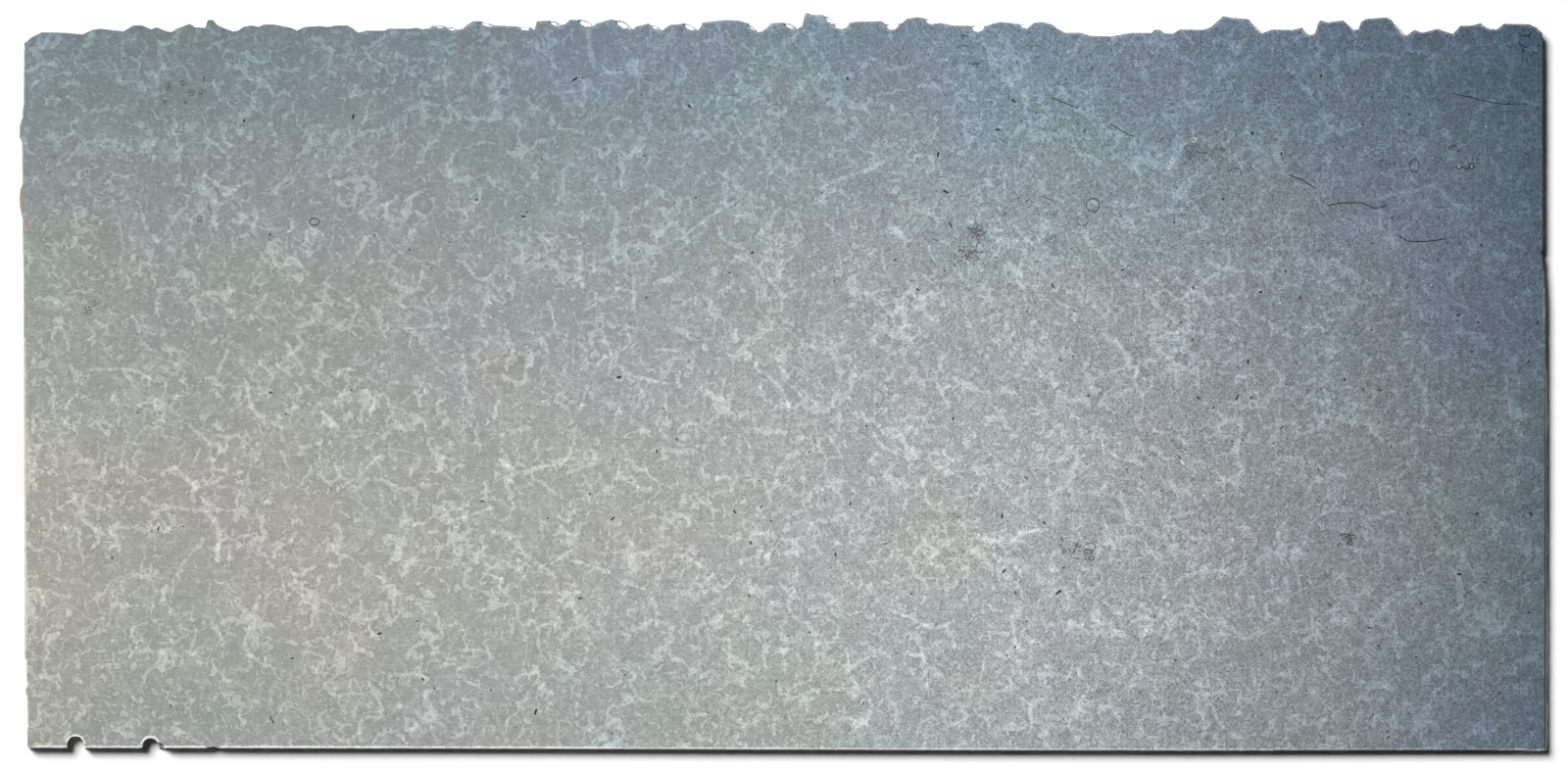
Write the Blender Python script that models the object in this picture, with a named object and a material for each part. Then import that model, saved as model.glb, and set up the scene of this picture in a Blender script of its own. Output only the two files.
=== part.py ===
"""Limestone slab: one plate of stone, gang-sawn from a quarry block and honed on its upper face.

The slab lies on its sawn underside. X runs along its length, Y across it and Z up through its
thickness, with the origin at the middle of the underside. The lower edge (-Y) and both ends are
sawn. The upper edge (+Y) is the block's own broken face: a row of teeth and hollows, with flakes
knocked off its arris. Two half drill holes and a nick are left in the lower edge, and a ragged lip
stands out at the lower right corner, where the last of the saw cut broke away.
"""

import math

import bmesh
import bpy
from mathutils import Vector, noise

MM = 0.001

# Driving dimensions, all in millimetres. The plan is drawn with X from the top of the left end and
# Y from the lower edge, and the finished slab is centred on the origin.
THICKNESS = 20.0
NET_HEIGHT = 1400.0
ARRIS = 2.2

# The broken edge from left to right: distance along the slab, and rise above the net height.
BROKEN_EDGE = (
    (0, -22), (15, -9), (35, 1), (80, 0), (115, -3), (135, 6), (150, 8), (195, 3), (215, 15),
    (230, 15), (250, 7), (260, 11), (280, 3), (290, 2), (300, 9), (315, 14), (325, 18), (335, 11),
    (355, 10), (360, 25), (370, 26), (380, 14), (410, 3), (420, 5), (430, 12), (445, 15), (460, 12),
    (470, 17), (490, 17), (525, 10), (535, 5), (550, 12), (580, 14), (595, 12), (610, 15),
    (635, 15), (645, 9), (655, 1), (670, 5), (705, 5), (715, 9), (755, 9), (770, 11), (780, 8),
    (795, 10), (800, 15), (825, 13), (850, 7), (860, 9), (870, 18), (880, 24), (895, 24), (905, 16),
    (965, 14), (1000, 6), (1005, 24), (1030, 25), (1050, 16), (1060, 18), (1070, 27), (1090, 26),
    (1115, 13), (1120, 19), (1150, 28), (1165, 25), (1190, 6), (1200, 14), (1225, 20), (1250, 6),
    (1265, 17), (1295, 20), (1320, 5), (1325, 12), (1330, 22), (1375, 27), (1400, 26), (1420, 20),
    (1435, 3), (1445, 4), (1455, 11), (1465, 21), (1490, 22), (1515, 9), (1525, 16), (1530, 38),
    (1535, 41), (1545, 37), (1570, 37), (1585, 21), (1610, 20), (1630, 24), (1680, 25), (1695, 17),
    (1720, 21), (1730, 30), (1750, 33), (1765, 31), (1780, 20), (1795, 22), (1820, 17), (1885, 16),
    (1900, 21), (1915, 24), (1950, 20), (1970, 15), (1980, 23), (1995, 24), (2015, 19), (2025, 11),
    (2040, 3), (2070, 3), (2090, -3), (2130, -4), (2170, 3), (2210, 3), (2215, 9), (2225, 9),
    (2235, 3), (2250, 1), (2265, 10), (2310, 9), (2325, 14), (2350, 36), (2365, 33), (2400, 30),
    (2415, 10), (2425, 2), (2445, 10), (2485, 9), (2505, 14), (2510, 6), (2520, -2), (2530, 3),
    (2535, 20), (2540, 28), (2555, 24), (2585, 28), (2595, 19), (2605, 9), (2615, 11), (2620, 25),
    (2630, 31), (2670, 34), (2680, 29), (2690, 14), (2700, 0), (2710, -1), (2725, 10), (2740, 4),
    (2770, 12), (2780, 8), (2800, 2), (2815, 18), (2835, 18), (2855, 23), (2865, 16), (2885, 10),
    (2900, 22), (2950, 21), (2965, 14), (2975, 4),
)
EDGE_STEP = 12.0

# The sawn left end from top to bottom, with the two humps that the saw left, and the sawn right
# end from bottom to top, with one nick.
LEFT_END = (
    (0, 1370), (-1, 1262), (-6, 1228), (-9, 1215), (-9, 1196), (-4, 1186), (-3, 1104), (-7, 1094),
    (-9, 1076), (-7, 1052), (-3, 1036), (-1, 920), (0, 700), (2, 180), (5, 100), (9, 0),
)
RIGHT_END = (
    (2984, 0), (2983, 880), (2979, 950), (2978, 966), (2974, 972), (2978, 979), (2977, 1390),
)

# The fracture wanders as it runs down through the broken edge, and mostly undercuts it.
FRACTURE_SWING = 3.0
FRACTURE_UNDERCUT = 0.8
FRACTURE_GRAIN = 24.0

# The lip is full width near the underside, and thins out towards mid-thickness and at its two ends.
LIP_WIDTH = 7.0
LIP_FULL_UP_TO = 3.0
LIP_GONE_AT = 13.5
LIP_TOP = 760.0
LIP_LEFT = 2930.0
LIP_FADE = 25.0
LIP_STEP = 22.0
LIP_GRAIN = 14.0

SECTION_HEIGHTS = (0.0, LIP_FULL_UP_TO, 8.0, LIP_GONE_AT, THICKNESS - ARRIS, THICKNESS)

# Half drill holes and a nick in the lower edge: distance along, height of the centre, radius.
LOWER_EDGE_CUTS = {
    "first_drill_hole": (103.0, 4.0, 16.5),
    "second_drill_hole": (250.0, 1.5, 15.5),
    "nick": (372.0, -17.0, 20.0),
}
CUTTER_SIDES = 32
CUTTER_OVERRUN = 10.0

# Flakes knocked off the arris of the broken edge: distance along, length, bite into the face.
SPALLS = (
    (815, 20, 4), (838, 20, 5), (908, 30, 7), (986, 34, 9), (1042, 27, 7), (1102, 34, 9),
    (1178, 40, 10), (1239, 28, 6), (1308, 34, 9), (1428, 22, 5), (1503, 30, 7), (1579, 24, 7),
    (1601, 32, 12), (1700, 28, 13), (1774, 20, 6), (1868, 28, 12), (1960, 20, 6), (2520, 18, 4),
    (2868, 22, 4),
)
DRILL_HOLE_FLARE = (266, 24, 9)
SPALL_DROP = 15.0

LIMESTONE_COLOUR = (0.31, 0.33, 0.33, 1.0)
LIMESTONE_ROUGHNESS = 0.6


def clear_scene():
    """Remove whatever the scene holds."""
    for obj in list(bpy.data.objects):
        bpy.data.objects.remove(obj, do_unlink=True)


def make_collection(name):
    """An empty collection in the scene."""
    collection = bpy.data.collections.new(name)
    bpy.context.scene.collection.children.link(collection)
    return collection


def make_limestone():
    """Honed grey limestone."""
    material = bpy.data.materials.new("limestone")
    material.use_nodes = True
    shader = material.node_tree.nodes["Principled BSDF"]
    shader.inputs["Base Color"].default_value = LIMESTONE_COLOUR
    shader.inputs["Roughness"].default_value = LIMESTONE_ROUGHNESS
    shader.inputs["Metallic"].default_value = 0.0
    material.diffuse_color = LIMESTONE_COLOUR
    return material


def divided(points, step):
    """The same line with points added, so that no stretch is longer than the step."""
    line = [Vector(points[0])]
    for start, end in zip(points, points[1:]):
        start, end = Vector(start), Vector(end)
        pieces = math.ceil((end - start).length / step)
        line += [start.lerp(end, piece / pieces) for piece in range(1, pieces + 1)]
    return line


def plan_outline():
    """The slab's plan anticlockwise from its lower left corner: its points, and which are broken."""
    lower_edge = [Vector(LEFT_END[-1])]
    lower_edge += divided(((LIP_LEFT, 0.0), RIGHT_END[0]), LIP_STEP)[:-1]
    beside_lip = divided((RIGHT_END[0], (RIGHT_END[1][0], LIP_TOP)), LIP_STEP)
    right_end = beside_lip + [Vector(point) for point in RIGHT_END[1:]]
    broken_edge = divided([(x, NET_HEIGHT + rise) for x, rise in reversed(BROKEN_EDGE)], EDGE_STEP)
    left_end = [Vector(point) for point in LEFT_END[:-1]]
    points = lower_edge + right_end + broken_edge + left_end
    sawn_first = len(lower_edge) + len(right_end)
    broken = [sawn_first <= index < sawn_first + len(broken_edge) for index in range(len(points))]
    return points, broken


def outward_directions(points):
    """The direction out of the slab at each point of its plan."""
    directions = []
    for index, point in enumerate(points):
        along = (points[(index + 1) % len(points)] - points[index - 1]).normalized()
        directions.append(Vector((along.y, -along.x)))
    return directions


def fracture_shift(point, height):
    """How far the broken face stands out of the plan at this height."""
    depth_share = min(1.0, 3.0 * (1.0 - height / THICKNESS))
    place = Vector((point.x, 2.0 * height, 0.0)) / FRACTURE_GRAIN
    return depth_share * (FRACTURE_SWING * noise.noise(place) - FRACTURE_UNDERCUT)


def lip_shift(point, height):
    """How far the ragged lip stands out of the plan at this height."""
    thinning = (LIP_GONE_AT - height) / (LIP_GONE_AT - LIP_FULL_UP_TO)
    run = min(point.x - LIP_LEFT, LIP_TOP - point.y) / LIP_FADE
    share = max(0.0, min(1.0, thinning)) * max(0.0, min(1.0, run))
    return LIP_WIDTH * share * (0.8 + 0.4 * noise.noise(Vector((point.x, point.y, 0.0)) / LIP_GRAIN))


def section(points, broken, directions, height):
    """The slab's outline at one height through its thickness."""
    ring = []
    for point, is_broken, outward in zip(points, broken, directions):
        if is_broken:
            moved = point + Vector((0.0, fracture_shift(point, height)))
        elif height == THICKNESS:
            moved = point - outward * ARRIS
        else:
            moved = point + outward * lip_shift(point, height)
        ring.append(Vector((moved.x, moved.y, height)) * MM)
    return ring


def loft(name, rings):
    """A closed solid through a stack of rings that all have the same number of points."""
    shape = bmesh.new()
    levels = [[shape.verts.new(point) for point in ring] for ring in rings]
    for lower, upper in zip(levels, levels[1:]):
        for index in range(len(lower)):
            shape.faces.new((lower[index - 1], lower[index], upper[index], upper[index - 1]))
    shape.faces.new(reversed(levels[0]))
    shape.faces.new(levels[-1])
    mesh = bpy.data.meshes.new(name)
    shape.to_mesh(mesh)
    shape.free()
    return bpy.data.objects.new(name, mesh)


def add_as_cutter(cutter, name, cutters):
    """Move a new primitive to the cutters, wired in the view and left out of the render."""
    cutter.name = name
    for home in list(cutter.users_collection):
        home.objects.unlink(cutter)
    cutters.objects.link(cutter)
    cutter.hide_render = True
    cutter.display_type = "WIRE"


def add_upright_cutter(name, x, y, radius, cutters):
    """A cylinder through the slab's whole thickness."""
    bpy.ops.mesh.primitive_cylinder_add(
        vertices=CUTTER_SIDES,
        radius=radius * MM,
        depth=(THICKNESS + 2 * CUTTER_OVERRUN) * MM,
        location=Vector((x, y, THICKNESS / 2)) * MM,
    )
    add_as_cutter(bpy.context.object, name, cutters)


def add_scoop_cutter(name, start, end, bite, cutters):
    """A shallow scoop laid along the arris between two points of the plan."""
    along = end - start
    bpy.ops.mesh.primitive_ico_sphere_add(
        subdivisions=2,
        radius=1.0,
        location=((start + end) / 2).to_3d() * MM + Vector((0.0, 0.0, THICKNESS * MM)),
        rotation=(0.0, 0.0, math.atan2(along.y, along.x)),
        scale=Vector((along.length / 2, bite, SPALL_DROP)) * MM,
    )
    add_as_cutter(bpy.context.object, name, cutters)


def broken_edge_point(x):
    """The point of the broken edge at this distance along the slab."""
    for (x0, rise0), (x1, rise1) in zip(BROKEN_EDGE, BROKEN_EDGE[1:]):
        if x0 <= x <= x1:
            return Vector((x, NET_HEIGHT + rise0 + (rise1 - rise0) * (x - x0) / (x1 - x0)))
    raise ValueError(f"{x} mm is off the broken edge")


def build_cutters(cutters):
    """Everything that was drilled, chipped or knocked off the slab."""
    for name, (x, y, radius) in LOWER_EDGE_CUTS.items():
        add_upright_cutter(name, x, y, radius, cutters)
    for number, (x, length, bite) in enumerate(SPALLS, start=1):
        start, end = broken_edge_point(x - length / 2), broken_edge_point(x + length / 2)
        add_scoop_cutter(f"spall_{number:02d}", start, end, bite, cutters)
    x, length, bite = DRILL_HOLE_FLARE
    start, end = Vector((x - length / 2, 0.0)), Vector((x + length / 2, 0.0))
    add_scoop_cutter("drill_hole_flare", start, end, bite, cutters)


def build_slab(collection, cutters):
    """The lofted plate, less what the cutters take off it."""
    points, broken = plan_outline()
    directions = outward_directions(points)
    rings = [section(points, broken, directions, height) for height in SECTION_HEIGHTS]
    slab = loft("slab", rings)
    slab.data.materials.append(make_limestone())
    collection.objects.link(slab)
    cut = slab.modifiers.new("chips", "BOOLEAN")
    cut.operation = "DIFFERENCE"
    cut.operand_type = "COLLECTION"
    cut.collection = cutters
    cut.solver = "EXACT"
    return slab


def centre_on_origin(slab, cutters):
    """Slide the slab and its cutters in plan, so that the slab's box is centred on the origin."""
    bpy.context.view_layer.update()
    evaluated = slab.evaluated_get(bpy.context.evaluated_depsgraph_get())
    corners = [slab.matrix_world @ Vector(corner) for corner in evaluated.bound_box]
    middle = [(min(c[axis] for c in corners) + max(c[axis] for c in corners)) / 2 for axis in (0, 1)]
    for obj in [slab, *cutters.objects]:
        obj.location -= Vector((*middle, 0.0))


def main():
    """Build the slab."""
    clear_scene()
    collection = make_collection("limestone_slab")
    cutters = make_collection("cutters")
    build_cutters(cutters)
    slab = build_slab(collection, cutters)
    centre_on_origin(slab, cutters)


main()
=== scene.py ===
"""A long slab of burrow-mottled grey limestone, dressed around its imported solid.

The slab lies on its sawn underside with its honed face up. Lengths are in metres in the frame of
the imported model, except plan millimetres, which the marks on the honed face are placed in: X runs
from the top of the left end and Y from the lower edge.
"""

import logging
import math
import random
from dataclasses import dataclass
from enum import Enum
from typing import Sequence

import bmesh
import bpy
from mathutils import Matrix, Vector, kdtree
from mathutils.geometry import delaunay_2d_cdt, intersect_point_line


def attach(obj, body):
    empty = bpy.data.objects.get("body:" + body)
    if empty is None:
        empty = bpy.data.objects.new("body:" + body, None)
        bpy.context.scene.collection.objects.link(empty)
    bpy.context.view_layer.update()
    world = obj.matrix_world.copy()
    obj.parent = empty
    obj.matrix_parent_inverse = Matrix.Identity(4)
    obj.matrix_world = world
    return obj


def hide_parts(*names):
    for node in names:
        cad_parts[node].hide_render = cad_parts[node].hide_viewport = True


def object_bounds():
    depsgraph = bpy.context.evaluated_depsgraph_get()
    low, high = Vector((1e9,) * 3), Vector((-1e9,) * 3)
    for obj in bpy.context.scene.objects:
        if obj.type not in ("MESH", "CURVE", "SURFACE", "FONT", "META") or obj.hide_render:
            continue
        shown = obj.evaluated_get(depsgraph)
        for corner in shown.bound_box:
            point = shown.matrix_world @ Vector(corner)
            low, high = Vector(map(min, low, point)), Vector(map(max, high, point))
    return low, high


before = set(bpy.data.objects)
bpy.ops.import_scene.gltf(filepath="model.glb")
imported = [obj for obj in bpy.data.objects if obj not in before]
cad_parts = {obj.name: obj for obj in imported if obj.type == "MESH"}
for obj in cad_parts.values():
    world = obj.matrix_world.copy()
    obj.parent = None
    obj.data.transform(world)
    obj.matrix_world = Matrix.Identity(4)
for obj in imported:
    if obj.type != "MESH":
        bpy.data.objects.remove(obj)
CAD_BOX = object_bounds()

LOG = logging.getLogger("limestone_slab")

Colour = tuple[float, float, float]
Point = tuple[float, float]

MM = 0.001
BODY = "root"
NODE = "slab"
THICKNESS = 0.020
# Where the middle of the frame lies in plan millimetres.
PLAN_X_MM = 1490.6
PLAN_Y_MM = 718.135
# How wide the slab is without its teeth, and where its broken edge begins.
NET_HEIGHT_MM = 1400.0
BROKEN_FROM_MM = NET_HEIGHT_MM - 30.0
# Heights that differ by less than this count as one.
HAIR = 0.1 * MM
TINGE_TONE = "tinge_tone"


class Face(Enum):
    """The surfaces of the slab, in the order of their finishes."""

    HONED = 0
    ARRIS = 1
    SAWN = 2
    FRACTURE = 3


class Mark(Enum):
    """What the mesh of the slab carries to its finishes, each from 0 to 1."""

    PALE = "pale_trace"
    DARK = "dark_trace"
    STAIN = "stain"
    TINGE = "tinge"


def placed(point: Point, height: float = THICKNESS) -> Vector:
    """The place in the frame of a point in plan millimetres."""
    return Vector(((point[0] - PLAN_X_MM) * MM, (point[1] - PLAN_Y_MM) * MM, height))


def plan(place: Vector) -> Point:
    """The point in plan millimetres of a place in the frame."""
    return place.x / MM + PLAN_X_MM, place.y / MM + PLAN_Y_MM


def eased(value: float, low: float, high: float) -> float:
    """How far the value has gone from low to high, slowing at both ends."""
    share = max(0.0, min(1.0, (value - low) / (high - low)))
    return share * share * (3.0 - 2.0 * share)


def finder(places: Sequence[Vector]) -> kdtree.KDTree:
    """Makes what finds the ones of some places that lie near a point.

    Args:
        places: The places.

    Returns:
        The finder, which knows them by their numbers.
    """
    tree = kdtree.KDTree(len(places))
    for index, place in enumerate(places):
        tree.insert(place, index)
    tree.balance()
    return tree


# ------------------------------------------------------------------------------------------
# Node trees
# ------------------------------------------------------------------------------------------


class Wiring:
    """Adds nodes to one tree and joins them, so that a pattern reads as a sum."""

    def __init__(self, tree: bpy.types.NodeTree) -> None:
        """Wires the given tree."""
        self.tree = tree

    @classmethod
    def grouped(
        cls, name: str, kind: str, inputs: dict[str, str], outputs: dict[str, str]
    ) -> "Wiring":
        """A new node group with named sockets.

        Args:
            name: The group's name.
            kind: The type of its tree.
            inputs: The type of each input, such as Float or Vector, by its name.
            outputs: The type of each output, by its name.

        Returns:
            The wiring of the new group.
        """
        tree = bpy.data.node_groups.new(name, kind)
        for way, sockets in (("INPUT", inputs), ("OUTPUT", outputs)):
            for socket, socket_kind in sockets.items():
                tree.interface.new_socket(
                    socket, in_out=way, socket_type=f"NodeSocket{socket_kind}"
                )
        return cls(tree)

    def given(self) -> bpy.types.NodeOutputs:
        """The group's inputs, to be wired from."""
        return self.add("NodeGroupInput").outputs

    def put_out(self, **sources) -> None:
        """Wires the group's outputs."""
        self.add("NodeGroupOutput", sources)

    def add(self, kind: str, inputs: dict | None = None, **settings) -> bpy.types.Node:
        """A new node.

        Args:
            kind: The node's type.
            inputs: A value or a socket for each input, by name or number.
            settings: The node's own properties.

        Returns:
            The node.
        """
        node = self.tree.nodes.new(kind)
        for name, setting in settings.items():
            setattr(node, name, setting)
        for name, source in (inputs or {}).items():
            self.feed(node.inputs[name], source)
        return node

    def feed(self, socket: bpy.types.NodeSocket, source) -> None:
        """Joins a socket to a source, or sets it to a value."""
        if isinstance(source, bpy.types.NodeSocket):
            self.tree.links.new(source, socket)
        elif socket.type == "RGBA" and len(source) == 3:
            socket.default_value = (*source, 1.0)
        else:
            socket.default_value = source

    def maths(self, operation: str, *terms, clamp: bool = False) -> bpy.types.NodeSocket:
        """The result of one step of arithmetic on values."""
        node = self.add("ShaderNodeMath", dict(enumerate(terms)), operation=operation)
        node.use_clamp = clamp
        return node.outputs[0]

    def plus(self, total, part, gain) -> bpy.types.NodeSocket:
        """A part, multiplied by its gain, added to a total."""
        return self.maths("MULTIPLY_ADD", part, gain, total)

    def product(self, *terms) -> bpy.types.NodeSocket:
        """All the values multiplied together."""
        total = terms[0]
        for term in terms[1:]:
            total = self.maths("MULTIPLY", total, term)
        return total

    def largest(self, *terms) -> bpy.types.NodeSocket:
        """The largest of the values."""
        total = terms[0]
        for term in terms[1:]:
            total = self.maths("MAXIMUM", total, term)
        return total

    def arrows(self, operation: str, *terms, **named) -> bpy.types.NodeSocket:
        """The result of one step of arithmetic on vectors."""
        inputs = {**dict(enumerate(terms)), **named}
        return self.add("ShaderNodeVectorMath", inputs, operation=operation).outputs[0]

    def clouds(
        self, vector, scale, detail: float = 2.0, roughness: float = 0.5, flat: bool = False
    ) -> bpy.types.NodeOutputs:
        """A cloudy value about one half, and a colour of three such values.

        Args:
            vector: The place.
            scale: How many clouds there are to a metre.
            detail: How many times finer clouds are laid over them.
            roughness: How strong the finer ones are.
            flat: Whether they only differ over X and Y.

        Returns:
            The value and the colour.
        """
        inputs = {"Vector": vector, "Scale": scale, "Detail": detail, "Roughness": roughness}
        return self.add(
            "ShaderNodeTexNoise", inputs, noise_dimensions="2D" if flat else "3D"
        ).outputs

    def noise(self, *terms, **named) -> bpy.types.NodeSocket:
        """The value of such clouds."""
        return self.clouds(*terms, **named)[0]

    def centred(self, *terms, **named) -> bpy.types.NodeSocket:
        """The value of such clouds, about 0."""
        return self.maths("SUBTRACT", self.noise(*terms, **named), 0.5)

    def ridges(
        self, vector, scale, detail: float, roughness: float, gain: float, offset: Sequence[float]
    ) -> bpy.types.NodeSocket:
        """A value over X and Y that rises along thin branching lines, mostly from 0 to 2.

        Args:
            vector: The place.
            scale: How many clouds there are to a metre, whose rims the lines follow.
            detail: How many times finer lines are laid over them.
            roughness: How strong the finer ones are.
            gain: How much the finer ones keep to the coarser ones.
            offset: Shifts the pattern, and turns it by a part of a turn with its third number.

        Returns:
            The value.
        """
        turned = self.add(
            "ShaderNodeVectorRotate", {"Vector": vector, "Angle": 0.6 + offset[2]},
            rotation_type="Z_AXIS",
        ).outputs[0]
        inputs = {
            "Vector": self.arrows("ADD", turned, (offset[0], offset[1], 0.0)), "Scale": scale,
            "Detail": detail, "Roughness": roughness, "Offset": 1.0, "Gain": gain,
        }
        return self.add(
            "ShaderNodeTexNoise", inputs, noise_dimensions="2D", noise_type="RIDGED_MULTIFRACTAL"
        ).outputs[0]

    def scattered(self, vector, amount, *terms, **named) -> bpy.types.NodeSocket:
        """The place, shifted at random by up to half the amount."""
        shift = self.arrows("SUBTRACT", self.clouds(vector, *terms, **named)[1], (0.5, 0.5, 0.5))
        return self.arrows("ADD", vector, self.arrows("SCALE", shift, Scale=amount))

    def eased(self, value, low, high, to_low=0.0, to_high=1.0) -> bpy.types.NodeSocket:
        """The value taken from one range to another, slowing at both ends."""
        inputs = {
            "Value": value, "From Min": low, "From Max": high, "To Min": to_low, "To Max": to_high
        }
        return self.add(
            "ShaderNodeMapRange", inputs, interpolation_type="SMOOTHSTEP"
        ).outputs[0]

    def mixed(self, share, first, second, blend: str = "MIX") -> bpy.types.NodeSocket:
        """Two colours mixed."""
        inputs = {0: share, 6: first, 7: second}
        return self.add("ShaderNodeMix", inputs, data_type="RGBA", blend_type=blend).outputs[2]

    def shaded(self, colour, value) -> bpy.types.NodeSocket:
        """A colour multiplied by a value."""
        return self.arrows("SCALE", colour, Scale=value)

    def ramp(self, value, stops: Sequence[tuple[float, Colour]]) -> bpy.types.NodeSocket:
        """The colour of a value between stops."""
        node = self.add("ShaderNodeValToRGB", {0: value})
        elements = node.color_ramp.elements
        while len(elements) < len(stops):
            elements.new(0.5)
        for element, (place, colour) in zip(elements, stops):
            element.position = place
            element.color = (*colour, 1.0)
        return node.outputs[0]

    def split(self, vector) -> bpy.types.NodeOutputs:
        """The three parts of a vector."""
        return self.add("ShaderNodeSeparateXYZ", {0: vector}).outputs

    def attribute(self, mark: Mark) -> bpy.types.NodeSocket:
        """A value that the mesh carries."""
        return self.add("ShaderNodeAttribute", attribute_name=mark.value).outputs["Fac"]

    def placed_group(self, tree: bpy.types.NodeTree, **inputs) -> bpy.types.NodeOutputs:
        """A shader group placed in this tree."""
        return self.add("ShaderNodeGroup", inputs, node_tree=tree).outputs

    def carried(self, name: str, kind: str = "FLOAT") -> bpy.types.NodeSocket:
        """What the geometry carries under a name."""
        inputs = {"Name": name}
        return self.add("GeometryNodeInputNamedAttribute", inputs, data_type=kind).outputs[0]

    def shifted(self, geometry, offset) -> bpy.types.NodeSocket:
        """The geometry with its points shifted, made real."""
        moved = self.add("GeometryNodeSetPosition", {"Geometry": geometry, "Offset": offset})
        return self.add("GeometryNodeRealizeInstances", {"Geometry": moved.outputs[0]}).outputs[0]

    def dressed(self, geometry, finish, selection=True) -> bpy.types.NodeSocket:
        """The geometry with a finish on the faces that are selected."""
        inputs = {"Geometry": geometry, "Selection": selection, "Material": finish}
        return self.add("GeometryNodeSetMaterial", inputs).outputs[0]

    def bumped(
        self, shader: bpy.types.Node, height, strength: float, distance: float
    ) -> None:
        """Gives a shader the relief of a height.

        Args:
            shader: The shader.
            height: The height.
            strength: How plain the relief is, from 0 to 1.
            distance: How tall it is where the height is 1, in metres.
        """
        inputs = {"Strength": strength, "Distance": distance, "Height": height}
        self.feed(shader.inputs["Normal"], self.add("ShaderNodeBump", inputs).outputs[0])


# ------------------------------------------------------------------------------------------
# Finishes
# ------------------------------------------------------------------------------------------


@dataclass(frozen=True)
class StoneTonesAndShade:
    """How the stone's colour drifts over the slab, from grey-buff to slate blue, with painted shade
    that darkens it towards the right end and the upper edge.
    """

    # Painted shade: besides the stone's own drift, these stops darken the colour steeply towards
    # the right end.
    along: tuple[tuple[float, Colour], ...] = (
        (0.00, (0.365, 0.360, 0.325)),
        (0.10, (0.345, 0.343, 0.312)),
        (0.30, (0.358, 0.360, 0.345)),
        (0.50, (0.380, 0.392, 0.384)),
        (0.66, (0.372, 0.392, 0.398)),
        (0.80, (0.274, 0.290, 0.308)),
        (1.00, (0.092, 0.125, 0.154)),
    )
    # Partly the stone's own colour and partly painted shade: these stops darken and cool it towards
    # the upper edge.
    across: tuple[tuple[float, Colour], ...] = (
        (0.00, (0.87, 0.92, 0.94)),
        (0.20, (1.00, 1.02, 1.02)),
        (0.38, (0.99, 1.00, 1.00)),
        (0.68, (0.775, 0.845, 0.91)),
        (0.88, (0.545, 0.665, 0.785)),
        (1.00, (0.455, 0.585, 0.715)),
    )
    tints: tuple[Colour, ...] = ((0.975, 1.015, 1.0), (1.02, 0.99, 1.025), (1.025, 1.01, 0.96))
    drift_scale: float = 1.3
    drift: float = 0.16
    patch_scale: float = 3.2

    def group(self) -> bpy.types.NodeTree:
        """The stone's colour at a place, with its painted shade, as a node group."""
        wiring = Wiring.grouped(
            "stone_tone_and_shade", "ShaderNodeTree", {"Place": "Vector"}, {"Colour": "Color"}
        )
        place = wiring.given()["Place"]
        drifted = wiring.split(
            wiring.scattered(place, amount=self.drift, scale=self.drift_scale, flat=True)
        )
        low, high = CAD_BOX
        colour = None
        for axis, stops in ((0, self.along), (1, self.across)):
            share = wiring.add("ShaderNodeMapRange", {
                "Value": drifted[axis], "From Min": low[axis], "From Max": high[axis]
            }).outputs[0]
            tone = wiring.ramp(share, stops)
            colour = tone if colour is None else wiring.mixed(1.0, colour, tone, "MULTIPLY")
        patches = wiring.clouds(place, scale=self.patch_scale, detail=3.0, flat=True)[1]
        parts = wiring.add("ShaderNodeSeparateColor", {0: patches}).outputs
        for part, tint in zip(parts, self.tints):
            tinted = wiring.mixed(1.0, colour, tint, "MULTIPLY")
            colour = wiring.mixed(wiring.eased(part, low=0.42, high=0.72), colour, tinted)
        wiring.put_out(Colour=colour)
        return wiring.tree


@dataclass(frozen=True)
class BurrowStrokes:
    """One family of thin branching strokes, drawn where its ridges rise past a value.

    Attributes:
        name: The input that its strength comes in by.
        scale: How many of the clouds that it follows there are to a metre.
        offset: Shifts and turns its pattern.
        outline: Where its darker outline begins, is plainest and ends.
        core: Where the stroke itself begins and is whole.
        halo: Where the tone round it begins and is whole.
    """

    name: str
    scale: float
    offset: tuple[float, float, float]
    outline: tuple[float, float, float]
    core: tuple[float, float]
    halo: tuple[float, float]


LONG_STROKES = BurrowStrokes(
    "Long", 15.0, (0.7, 1.9, 0.0), (1.50, 1.56, 1.64), (1.54, 1.62), (1.20, 1.50)
)
SHORT_STROKES = BurrowStrokes(
    "Short", 30.0, (5.3, 2.2, 1.1), (1.52, 1.58, 1.66), (1.56, 1.64), (1.25, 1.52)
)

# How the fine grain is stretched along the slab, by polishing or by the saw.
STREAKED = (0.3, 1.0, 1.0)
SAW_LINED = (0.02, 1.0, 1.0)
EVEN = (1.0, 1.0, 1.0)


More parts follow.
